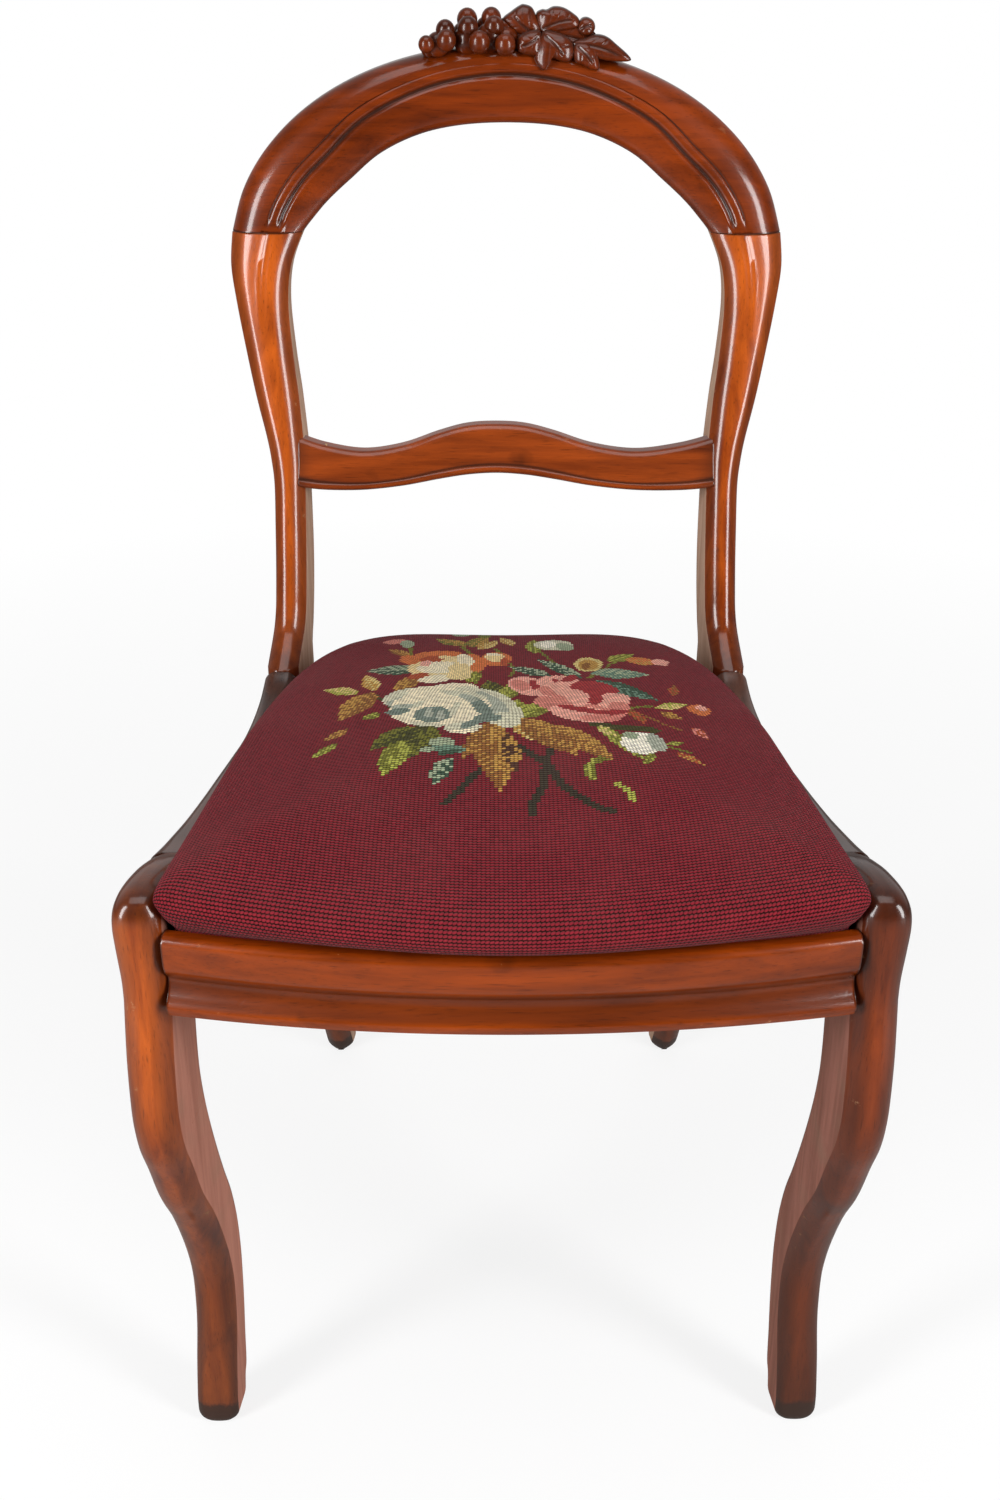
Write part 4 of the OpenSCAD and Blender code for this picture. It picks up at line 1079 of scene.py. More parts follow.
@dataclass
class CrossRail:
    """Serpentine cross rail of the back, its hump a little left of the middle."""

    hump: float = 0.05
    corner: float = 0.3
    housed: float = 4.5
    bead: float = 0.2
    shares: tuple = ((0, 0.296, 1.296), (0.14, 0.259, 1.258), (0.28, 0.167, 1.107), (0.46, 0.029, 0.856),
                     (0.66, -0.057, 0.740), (0.86, -0.057, 0.856), (1, 0, 1.028))

    def build(self, finish: Material) -> None:
        """Carries a rounded section from post to post.

        Args:
            finish: The polish.
        """
        s, half = SIZES, np.array(self.shares, float)
        rows = smooth_rows(np.vstack([half[:0:-1] * [-1, 1, 1], half]), 10)
        z0, z1 = s.cross_z + s.cross_h * rows[:, 1], s.cross_z + s.cross_h * rows[:, 2]
        radius = s.cross_t * self.corner
        section, edge = SECTION.rings(np.full(len(rows), s.cross_t), z1 - z0, radius, radius * 0.6)
        up = section[..., 1] / (z1 - z0)[:, None]
        groove = np.exp(-((up - self.bead) / 0.035) ** 2)
        band = np.where(up < self.bead, up / self.bead, (up - self.bead) / (1 - self.bead))
        depth = 1.3 * groove + 1.2 * (1 - 4 * band * (1 - band)) * (1 - groove)
        facing = np.clip(1 - section[..., 0] / radius, 0, 1)
        z = z0[:, None] + section[..., 1]
        plane = s.back_plane_y(z)
        y = plane + s.cross_t * 0.15 + section[..., 0]
        front, follow = BackPost(Side.RIGHT).front_share(z)
        front = s.post_y + s.post_set * front
        end = s.side_x(front) - s.post_t + self.housed - s.splay * follow * (y - front)
        x = (rows[:, :1] - self.hump * (1 - rows[:, :1] ** 2)) * end
        rings = np.stack([x, y + depth * facing, z], axis=-1)
        # Painted shade in the groove over the bead and at both ends, where the rail meets the posts
        near = np.exp(-((1 - np.abs(rows[:, :1])) * s.half_w / 12) ** 2)
        marks = {"edge": edge, "painted_shade": np.minimum(1, groove * facing + 0.5 * near)}
        lofted("cross_rail_polished", rings, marks).build(finish, "polished_mahogany", "cross_rail")


@dataclass(frozen=True)
class Grape:
    """One grape as shares of the carving's width, and its radius as a share of the largest one's."""

    across: float
    up: float
    back: float
    size: float

    def ball(self, around: int = 22, rings: int = 15) -> Piece:
        """A sphere whose poles point to the front and the back, with painted shade towards its rear and
        underside.

        Args:
            around: Points round the sphere.
            rings: Rings from pole to pole.

        Returns:
            The grape.
        """
        s = SIZES
        radius = s.grape_r * self.size
        z = s.crest_h + s.carving_w * self.up
        centre = np.array([s.carving_w * self.across, s.back_plane_y(z) + s.carving_w * self.back, z])
        polar = np.radians(np.linspace(2, 178, rings))[:, None]
        turn = np.radians(np.linspace(0, 360, around, endpoint=False))[None, :]
        unit = np.stack([np.sin(polar) * np.cos(turn), -np.cos(polar) + 0 * turn,
                         np.sin(polar) * np.sin(turn)], axis=-1)
        # Painted shade towards the rear and underside, where the grapes crowd together
        painted_shade = smoothstep(-0.30, 0.45, unit[..., 1] - 0.3 * unit[..., 2])
        return lofted("grape", centre + radius * unit * [1.04, 1.0, 1.12], {"painted_shade": painted_shade}, ease=0.0)


@dataclass
class GrapeCluster:
    """The carved grapes on the left of the crest."""

    grapes: tuple = (
        (-0.399, 0.011, -0.035, 0.75), (-0.300, 0.029, -0.035, 0.94), (-0.138, 0.021, -0.035, 1.00),
        (-0.010, 0.010, -0.035, 0.98), (-0.306, 0.072, 0.007, 0.90), (-0.194, 0.082, 0.007, 1.00),
        (-0.066, 0.087, 0.007, 0.95), (-0.198, 0.117, 0.056, 0.98), (-0.079, 0.122, 0.056, 0.96),
        (-0.304, 0.034, 0.070, 0.95), (-0.386, -0.016, 0.045, 0.80), (-0.221, 0.049, 0.105, 1.00),
        (-0.106, 0.074, 0.110, 1.00), (-0.006, 0.074, 0.080, 0.95), (-0.196, 0.024, 0.040, 1.35),
        (-0.086, 0.029, 0.045, 1.40), (-0.006, 0.019, 0.050, 1.25), (-0.345, 0.005, 0.020, 1.10))

    def build(self, finish: Material) -> None:
        """Makes all grapes as one piece."""
        cluster = merged("grape_cluster_carved", [Grape(*row).ball() for row in self.grapes])
        cluster.build(finish, "carved_mahogany", "grape_cluster")


@dataclass(frozen=True)
class Lobe:
    """One lobe of the carved vine leaf: a closed dome with a vein and side veins.

    The outline and the vein are points [x, height over the crest] in millimetres, and rim
    is how far the outline lies behind the back rest's front plane.
    """

    outline: tuple
    vein: tuple
    rim: float
    dome: float = 5.5
    thick: float = 8.0
    grow: float = 1.09
    groove: float = 1.3
    side_groove: float = 0.28
    spacing: float = 7.0

    def shell(self, steps: int = 9) -> Piece:
        """The dome over the outline, its grooved front and its flat back.

        Args:
            steps: Points between two of the outline's corners.

        Returns:
            The lobe.
        """
        s, corners = SIZES, np.array(self.outline, float)
        count = len(corners)
        outline = smooth_rows(np.tile(corners, (3, 1)), steps)[count * steps:2 * count * steps]
        vein = np.array(self.vein, float)
        along_vein = vein[1] - vein[0]
        length = np.linalg.norm(along_vein)
        along_vein /= length
        centre = corners.mean(axis=0)
        outline = centre + (outline - centre) * self.grow
        share = np.concatenate([np.linspace(0.03, 0.9, 17), [0.95, 0.985, 1.0]])[:, None, None]
        at = centre + (outline - centre) * share
        offset = at - vein[0]
        run = offset @ along_vein
        beside = offset[..., 1] * along_vein[0] - offset[..., 0] * along_vein[1]
        part = run / length
        bend = beside - 0.06 * length * np.sin(np.pi * np.clip(part, 0, 1))
        main = np.exp(-(bend / 1.1) ** 2) * smoothstep(-0.15, 0.1, part) * (1 - smoothstep(0.8, 1.0, part))
        wave = ((run - 0.8 * np.abs(bend)) / self.spacing) % 1.0
        side = np.exp(-((wave - 0.5) * self.spacing / 0.9) ** 2) * smoothstep(1.0, 3.0, np.abs(bend))
        depth = self.rim - self.dome * np.maximum(0, 1 - share[..., 0] ** 2) ** 0.5
        depth = depth + (self.groove * main + self.side_groove * side) * (1 - share[..., 0] ** 6)
        front = np.concatenate([at, depth[..., None]], axis=-1)
        back = np.stack([np.concatenate([at[k], np.full((len(outline), 1), self.rim + self.thick)], axis=-1)
                         for k in (-1, 0)])
        rows = np.concatenate([front, back])
        z = s.crest_h + rows[..., 1]
        rings = np.stack([rows[..., 0], s.back_plane_y(z) + rows[..., 2], z], axis=-1)
        # Painted shade in the vein grooves and at the rim, and full shade on the flat back
        shade = np.clip(0.8 * main + 0.25 * side + 0.8 * smoothstep(0.86, 1.0, share[..., 0]), 0, 1)
        painted_shade = np.concatenate([shade, np.ones((2, len(outline)))])
        return lofted("lobe", rings, {"painted_shade": painted_shade}, ease=0.0)


@dataclass
class LeafSpray:
    """The carved vine leaf on the right of the crest."""

    lobes: tuple = (
        Lobe(((-4, 8), (2, 15), (12, 20), (22, 17), (34, 19), (46, 16), (58, 13), (66, 5), (74, 0), (82, -6),
              (70, -8), (58, -10), (44, -8), (28, -8), (12, -5), (0, -2)), ((10, 8), (70, -2)), 7.0, dome=3.0,
             grow=1.0),
        Lobe(((-2, 17), (3.5, 21.5), (9, 25), (12, 25.7), (17, 24), (20, 19), (23, 11), (16, 6), (8, 8),
              (2, 12)), ((20, 8), (4, 20)), 7.0),
        Lobe(((21.9, 19.6), (25.4, 22.8), (28.9, 22.8), (33.6, 24.7), (40, 24), (46.5, 20.5), (50.2, 17),
              (49.5, 12.5), (37.5, 9.9), (25.8, 8.8)), ((25, 11), (48, 17)), 6.0),
        Lobe(((51.0, 12.5), (53.2, 17), (57, 18), (61, 16), (62.2, 12), (60, 8), (56, 6.9), (52.4, 8.6)),
             ((52, 11), (61, 14)), 5.0, dome=5.0),
        Lobe(((47.8, 1.9), (56.6, 5.4), (62.6, 7.1), (69.7, 6.1), (76.1, 1.9), (86.4, -8), (68.4, -8),
              (57.3, -3.5)), ((47.8, 1.9), (83, -7)), 0.0, dome=5.0),
        Lobe(((7.7, 4.2), (9.8, 7.1), (16.9, 9.9), (23.3, 8.3), (22.6, -4), (13, -4.6), (7.7, -1.6)),
             ((22, 6), (9, 0)), -1.0),
        Lobe(((25.8, 8.3), (33.6, 8.8), (42.4, 5.4), (46.5, -0.3), (45.3, -7.4), (40, -9.3), (31.1, -7.4),
              (26.5, -14.4), (20.4, -6.1)), ((27, 7), (41, -7)), -1.0, dome=6.0),
        Lobe(((48.5, 0.6), (56.6, 1.9), (63, -4), (65.1, -13.1), (60.7, -14.4), (54.2, -11.5), (48.5, -8.7)),
             ((50, 0), (62, -12)), -1.0))

    def build(self, finish: Material) -> None:
        """Makes all lobes as one piece."""
        spray = merged("leaf_spray_carved", [lobe.shell() for lobe in self.lobes])
        spray.build(finish, "carved_mahogany", "leaf_spray")


# The drop-in seat


@dataclass
class SeatForm:
    """The drop-in seat's plan and skin, worked out as in the part's source."""

    gap: float = 2.0
    taper: float = 6.0
    frame_t: float = 16.0
    frame_w: float = 46.0
    crown_rise: float = 46.0
    bulge: float = 8.0
    web_t: float = 1.2
    front_power: float = 60.0
    rear_power: float = 7.0
    rear_top_power: float = 4.4
    crown_inner: float = 2.4
    crown_outer: float = 0.65

    def __post_init__(self) -> None:
        """Works out the heights and the plan's middle."""
        s = SIZES
        self.front_y = s.front_lip + self.gap / 2
        self.back_y = s.depth - s.back_rail_set - self.gap
        self.mid_y = (self.front_y + self.back_y) / 2
        self.half_d = (self.back_y - self.front_y) / 2
        self.hem_z = s.seat_h - s.rebate_d + 0.3 * self.web_t
        self.frame_z = self.hem_z + self.web_t * 1.2
        self.frame_top = self.frame_z + self.frame_t
        self.wall_top = s.seat_h + self.gap * 0.3
        self.crown_z = s.seat_h + self.crown_rise

    def half(self, y: Array) -> Array:
        """Half the plan's width at the depth y."""
        s = SIZES
        return s.side_x(y) - s.leg_t - self.gap - self.taper * (y - self.front_y) / (2 * self.half_d)

    def plan(self, ca: Array, sa: Array, inset: float, rear: float) -> Array:
        """Superellipse plan in the direction [ca, sa], square in front and rounder behind.

        Args:
            ca: Cosine of the direction.
            sa: Its sine, negative to the front.
            inset: How far the plan is drawn in.
            rear: The superellipse's power behind the middle.

        Returns:
            Points [x, y].
        """
        s = SIZES
        power = np.where(sa < 0, self.front_power, rear)
        reach = (np.abs(ca) ** power + np.abs(sa) ** power) ** (-1 / power)
        across, straight = reach * ca, self.mid_y + (self.half_d - inset) * reach * sa
        ahead = np.maximum(0, (self.mid_y - straight) / self.half_d)
        y = straight + s.knee_set * across**2 * ahead
        return np.stack([(self.half(y) - inset) * across, y], axis=-1)

    def skin(self, ca: Array, sa: Array, c: Array, depth: float = 0.0) -> Array:
        """A point of the cushion's skin.

        c runs from 0 at the hem up the frame to 0.5, then to 1 at the swell and to 2 in the
        middle of the crown.

        Args:
            ca: Cosine of the point's direction in plan.
            sa: Its sine, negative to the front.
            c: How far up the skin the point lies.
            depth: How far inside the skin it lies.

        Returns:
            Points [x, y, z].
        """
        s = SIZES
        low = self.plan(ca, sa, depth, self.rear_power)
        high = self.plan(ca, sa, depth, self.rear_top_power)
        behind = np.maximum(0, (high[..., 1] - self.mid_y) / self.half_d)
        ahead = np.maximum(0, (self.mid_y - high[..., 1]) / self.half_d)
        at_front = np.minimum(1, ahead) ** 6
        grow = 1 + self.bulge * (1 - 1.6 * behind + 0.4 * at_front) / s.half_w
        high = np.stack([high[..., 0] * grow,
                         high[..., 1] - s.front_lip * at_front - self.bulge * behind], axis=-1)
        rear = np.maximum(0, sa) ** 2
        swell_z = s.seat_h + self.crown_rise * (0.34 + 0.27 * (1 - np.abs(sa) ** 4.5) - 0.2 * rear
                                                - 0.56 * rear * ca**2)
        wall, up = np.minimum(1, 2 * c), np.clip(2 * c - 1, 0, 1)
        over = np.maximum(0, c - 1)
        late = np.maximum(0, (up - 0.6) / 0.4)
        free = (self.frame_top - self.wall_top) / (swell_z - self.wall_top)
        inside = np.maximum(0, (up - free) / (1 - free))
        slow = inside**2 * (3 - 2 * inside)
        quick = 1 - (1 - up) ** 12
        ease_x = np.where(np.abs(high[..., 0]) > np.abs(low[..., 0]), late**2 * (3 - 2 * late), slow)
        ease_y = np.where((high[..., 1] < low[..., 1]) & (low[..., 1] < self.mid_y), quick, slow)
        edge = low + (high - low) * np.stack([ease_x, ease_y], axis=-1)
        z_edge = self.hem_z + (self.wall_top - self.hem_z) * wall + (swell_z - self.wall_top) * up
        keep = (1 - over)[..., None]
        centre = np.array([0, self.mid_y])
        at = centre + (edge - centre) * keep
        rise = (self.crown_z - depth - swell_z) * (1 - keep[..., 0] ** self.crown_inner) ** self.crown_outer
        return np.concatenate([at, np.where(over > 0, z_edge + rise, z_edge)[..., None]], axis=-1)


@dataclass
class SeatTextiles:
    """Jute straps, burlap, stuffing and dust cover of the drop-in seat."""

    form: SeatForm
    web_w: float = 50.0
    places: tuple = (-0.30, 0.0, 0.30)
    weave: float = 0.5
    felt_depth: float = 10.0
    crease: float = 40.0
    rails: tuple = ("seat_frame_front", "seat_frame_back", "seat_frame_left", "seat_frame_right")

    def __post_init__(self) -> None:
        """Works out where the frame's rails stand."""
        f = self.form
        self.front = f.front_y + f.frame_w + SIZES.knee_set / 2
        self.rear = f.back_y - f.frame_w
        self.burlap_z = f.frame_top + 2 * f.web_t

    def strap(self, name: str, node: str, start: Array, end: Array, z: float, lean: float,
              jute: Material) -> None:
        """One stretched strap that waves a little as it goes over and under the others.

        Args:
            name: The piece's name.
            node: The CAD node that it stands for.
            start: The middle of its first end [x, y].
            end: The middle of its other end.
            z: Height of its underside.
            lean: Which way its first wave goes, 1 or -1.
            jute: The cloth.
        """
        f = self.form
        run = end - start
        length = np.linalg.norm(run)
        sideways = np.array([-run[1], run[0]]) / length
        share = np.linspace(0, 1, 61)
        free = smoothstep(0.05, 0.2, np.minimum(share, 1 - share))
        wave = lean * self.weave * np.sin(share * math.pi * 4) * free
        across = np.concatenate([np.linspace(-0.5, 0.5, 13), np.linspace(0.5, -0.5, 13)])
        lift = np.concatenate([np.zeros(13), np.ones(13)]) * f.web_t * 0.9
        at = start + run * share[:, None, None] + sideways * across[None, :, None] * self.web_w
        height = z + 0.05 * f.web_t + wave[:, None] + lift[None, :]
        rings = np.concatenate([at, height[..., None]], axis=-1)
        piece = replace(lofted(name, rings, ease=0.0), body="seat", crease=self.crease)
        made = piece.build(jute, "jute_webbing", node)

    def cloth(self, name: str, node: str, inset: float, z: float, thick: float, slot: str,
              finish: Material) -> None:
        """A flat cloth in the seat's plan, tacked to the frame.

        Args:
            name: The piece's name.
            node: The CAD node that it stands for.
            inset: How far its edge lies inside the seat's.
            z: Height of its underside.
            thick: Its thickness.
            slot: The record's material slot.
            finish: The cloth.
        """
        f = self.form
        turn = np.radians(np.linspace(0, 360, 160, endpoint=False))
        edge = f.plan(np.cos(turn), np.sin(turn), inset, f.rear_power)
        centre = np.array([0.0, f.mid_y])
        share = np.concatenate([np.linspace(0.02, 1, 12), np.linspace(1, 0.02, 12)])[:, None, None]
        at = centre + (edge - centre) * share
        height = z + np.concatenate([np.zeros(12), np.full(12, thick)])[:, None] + 0 * turn
        rings = np.concatenate([at, height[..., None]], axis=-1)
        piece = replace(lofted(name, rings, ease=0.0), body="seat", crease=self.crease)
        made = piece.build(finish, slot, node)

    def stuffing(self, finish: Material) -> None:
        """The crowned body of hair and cotton felt between burlap and cover.

        Args:
            finish: The felt.
        """
        f = self.form
        turn = np.radians(np.linspace(0, 360, 144, endpoint=False))[None, :]
        level = np.concatenate([np.linspace(0.5, 1, 10), 2 - np.linspace(1, 0.02, 30)[1:] ** 0.8])[:, None]
        rings = f.skin(np.cos(turn) + 0 * level, np.sin(turn) + 0 * level, level + 0 * turn, self.felt_depth)
        bed = self.burlap_z + f.web_t + 0.3
        rings[..., 2] = np.maximum(rings[..., 2], bed)
        start = rings[:1].copy()
        start[..., 2] = bed
        rings = np.concatenate([start, rings[rings[:, 0, 2] > start[0, 0, 2] + 0.5]])
        piece = replace(lofted("seat_stuffing", rings, ease=0.0), body="seat")
        made = piece.build(finish, "padding", "seat_padding")

    def build(self, jute: Material, sacking: Material, black: Material,
              felt: Material) -> None:
        """Makes the straps, both cloths and the stuffing.

        Args:
            jute: The straps' weave.
            sacking: The burlap's.
            black: The dust cover's.
            felt: The stuffing's.
        """
        s, f = SIZES, self.form
        for k, share in enumerate(self.places):
            x = (s.side_x(self.rear) - s.leg_t) * 1.6 * share
            reach = 0.6 * f.frame_w
            self.strap(f"long_strap_{k + 1}", "long_webbing", np.array([x, self.front - reach]),
                       np.array([x, self.rear + reach]), f.frame_top, 1 - 2 * (k % 2), jute)
            y = (self.front + self.rear) / 2 + (self.rear - self.front) * share
            half = s.side_x(y + self.web_w / 2) - s.leg_t - f.gap - f.frame_w * 0.35
            self.strap(f"cross_strap_{k + 1}", "cross_webbing", np.array([-half, y]), np.array([half, y]),
                       f.frame_top + f.web_t, 2 * (k % 2) - 1, jute)
        self.cloth("burlap_sheet", "burlap", f.frame_w * 0.3, self.burlap_z, f.web_t, "burlap", sacking)
        self.cloth("dust_sheet", "dust_cover", f.frame_w * 0.55, f.frame_z - 1.1 * f.web_t, f.web_t * 0.6,
                   "dust_cloth", black)
        self.stuffing(felt)


class Wool(Enum):
    """The needlepoint's wools, as a screen shows them."""

    GROUND = (112, 25, 34)
    CREAM = (232, 220, 188)
    IVORY = (204, 200, 172)
    MIST = (166, 170, 152)
    SLATE = (112, 126, 114)
    WHITE = (240, 234, 216)
    PEACH = (226, 202, 146)
    ORANGE = (200, 108, 56)
    RUST = (164, 72, 40)
    BLUSH = (224, 160, 142)
    PINK = (204, 124, 110)
    RED = (152, 44, 46)
    SAGE = (150, 162, 132)
    TEAL = (96, 124, 104)
    PINE = (54, 78, 60)
    LIME = (160, 162, 68)
    OLIVE = (108, 108, 34)
    MOSS = (62, 62, 24)
    STRAW = (206, 184, 116)
    GOLD = (178, 134, 62)
    BROWN = (132, 84, 38)
    BARK = (74, 44, 28)
    STEM = (48, 44, 30)

    def colour(self) -> Array:
        """The wool's colour in linear values."""
        return np.array(linear(*self.value))


# The short name that the posy's tables use
W = Wool


@dataclass(frozen=True)
class Blot:
    """An ellipse of one wool: its middle, its radii and its turn in degrees."""

    x: float
    y: float
    rx: float
    ry: float
    turn: float
    wool: Wool

    def paint(self, at: Array, colours: Array) -> None:
        """Colours every stitch inside the ellipse (u/rx)^2 + (v/ry)^2 < 1.

        Args:
            at: Places of the stitches.
            colours: Their colours, changed in place.
        """
        c, s = math.cos(math.radians(self.turn)), math.sin(math.radians(self.turn))
        dx, dy = at[:, 0] - self.x, at[:, 1] - self.y
        inside = ((dx * c + dy * s) / self.rx) ** 2 + ((dy * c - dx * s) / self.ry) ** 2 < 1
        colours[inside] = self.wool.colour()


@dataclass(frozen=True)
class Leaf:
    """A pointed leaf from its base to its tip, light on one half and dark on the other."""

    x0: float
    y0: float
    x1: float
    y1: float
    width: float
    light: Wool
    dark: Wool

    def paint(self, at: Array, colours: Array) -> None:
        """Half width is width / 2 times sin(pi t^0.8); side veins come every 7 mm.

        Args:
            at: Places of the stitches.
            colours: Their colours, changed in place.
        """
        run = np.array([self.x1 - self.x0, self.y1 - self.y0], float)
        length = np.hypot(*run)
        run /= length
        d = at - [self.x0, self.y0]
        t = np.clip(d @ run / length, 0, 1)
        off = d @ [-run[1], run[0]]
        inside = (np.abs(off) < self.width / 2 * np.sin(np.pi * t**0.8)) & (t > 0) & (t < 1)
        vein = (np.abs(off) < 1.3) | ((t * length - np.abs(off)) % 7.0 < 1.6)
        dark = (off < 0) ^ vein
        colours[inside & dark] = self.dark.colour()
        colours[inside & ~dark] = self.light.colour()


@dataclass(frozen=True)
class Stem:
    """A curved line of stitches through a few points."""

    points: tuple
    width: float
    wool: Wool

    def paint(self, at: Array, colours: Array) -> None:
        """Colours the stitches that lie within half the width of the smoothed line.

        Args:
            at: Places of the stitches.
            colours: Their colours, changed in place.
        """
        line = smooth_rows(np.array(self.points, float), 8)
        near = np.min(np.linalg.norm(at[:, None, :] - line[None], axis=-1), axis=1) < self.width / 2
        colours[near] = self.wool.colour()


@dataclass(frozen=True)
class Bouquet:
    """A traditional posy of roses, buds and leaves, laid out in the seat's plan in millimetres."""

    # Crossing stalks and thin sprigs: points, width, wool
    stems: tuple = (
        (((2, 178), (14, 162), (24, 148), (32, 126), (50, 104), (60, 98)), 6, W.STEM),
        (((27, 172), (22, 150), (20, 126), (14, 108), (12, 96)), 5.5, W.STEM),
        (((-8, 160), (-22, 138), (-31, 120), (-40, 106)), 5, W.STEM),
        (((56, 206), (72, 203), (94, 202)), 8, W.MOSS), (((60, 160), (50, 150), (50, 134)), 6.5, W.OLIVE),
        (((52, 156), (48, 146), (51, 132)), 3, W.LIME), (((64, 128), (72, 118), (74, 109)), 4.5, W.LIME),
        (((-32, 350), (-26, 330), (-20, 300), (-22, 272)), 3.5, W.OLIVE),
        (((-8, 345), (-4, 330), (4, 300), (2, 284)), 3, W.OLIVE),
        (((22, 340), (30, 320), (40, 286)), 3, W.OLIVE), (((78, 322), (66, 300), (56, 284)), 3, W.OLIVE),
        (((96, 240), (84, 236), (74, 228)), 3, W.OLIVE),
        (((-92, 262), (-84, 246), (-74, 228)), 3, W.MOSS),
        (((-70, 350), (-68, 330), (-64, 312)), 3, W.OLIVE),
        (((88, 226), (100, 214), (112, 206)), 2.6, W.BROWN),
        (((96, 180), (108, 176), (114, 172)), 2.6, W.OLIVE))
    # From the cool green leaves behind to the gold ones in front: base, tip, width, wools
    leaves: tuple = (
        (-60, 300, -100, 306, 19, W.PINE, W.SAGE), (30, 284, 0, 304, 13, W.PINE, W.SAGE),
        (51, 282, 20, 320, 13, W.PINE, W.SAGE), (58, 292, 100, 299, 19, W.SAGE, W.TEAL),
        (60, 280, 102, 250, 18, W.PINE, W.TEAL), (-70, 330, -86, 352, 9, W.BROWN, W.GOLD),
        (-8, 250, -14, 276, 17, W.OLIVE, W.MOSS), (-4, 240, 6, 276, 14, W.LIME, W.OLIVE),
        (6, 212, 30, 244, 17, W.LIME, W.OLIVE), (6, 210, 6, 244, 15, W.OLIVE, W.LIME),
        (-26, 272, -22, 300, 12, W.LIME, W.OLIVE), (-102, 264, -128, 280, 13, W.LIME, W.STRAW),
        (-90, 266, -100, 298, 12, W.GOLD, W.STRAW), (-76, 260, -62, 294, 15, W.GOLD, W.BROWN),
        (-92, 264, -112, 220, 22, W.BROWN, W.GOLD), (-104, 206, -120, 190, 8, W.BROWN, W.GOLD),
        (-110, 186, -126, 166, 8, W.LIME, W.OLIVE), (-84, 226, -98, 220, 8, W.OLIVE, W.LIME),
        (-52, 208, -66, 156, 26, W.OLIVE, W.MOSS), (-64, 204, -88, 172, 18, W.MOSS, W.OLIVE),
        (-68, 184, -79, 136, 19, W.LIME, W.OLIVE), (-38, 160, -48, 124, 13, W.PINE, W.SAGE),
        (-12, 208, -30, 156, 14, W.GOLD, W.BROWN), (-12, 208, -6, 118, 28, W.GOLD, W.BROWN),
        (-2, 190, 4, 140, 12, W.GOLD, W.BARK), (2, 206, 16, 180, 9, W.STRAW, W.GOLD),
        (8, 214, 44, 160, 24, W.GOLD, W.BROWN), (26, 204, 66, 156, 22, W.GOLD, W.BROWN),
        (60, 204, 84, 158, 12, W.OLIVE, W.LIME), (90, 168, 84, 152, 7, W.LIME, W.OLIVE),
        (58, 204, 68, 190, 9, W.LIME, W.STRAW), (72, 318, 92, 342, 13, W.LIME, W.OLIVE),
        (84, 324, 112, 330, 17, W.ORANGE, W.GOLD), (20, 334, 20, 378, 13, W.LIME, W.OLIVE),
        (-20, 344, -6, 376, 12, W.GOLD, W.STRAW), (-26, 350, -14, 398, 15, W.OLIVE, W.GOLD),
        (-30, 354, -52, 380, 17, W.OLIVE, W.GOLD), (4, 356, -4, 390, 10, W.GOLD, W.STRAW),
        (98, 238, 122, 250, 10, W.LIME, W.STRAW), (100, 232, 116, 222, 9, W.GOLD, W.BROWN),
        (112, 262, 116, 284, 8, W.RUST, W.BROWN), (120, 212, 130, 194, 8, W.RUST, W.PINK),
        (80, 232, 90, 210, 8, W.RUST, W.BROWN), (100, 182, 112, 188, 6, W.OLIVE, W.LIME),
        (106, 172, 122, 156, 7, W.RUST, W.GOLD))
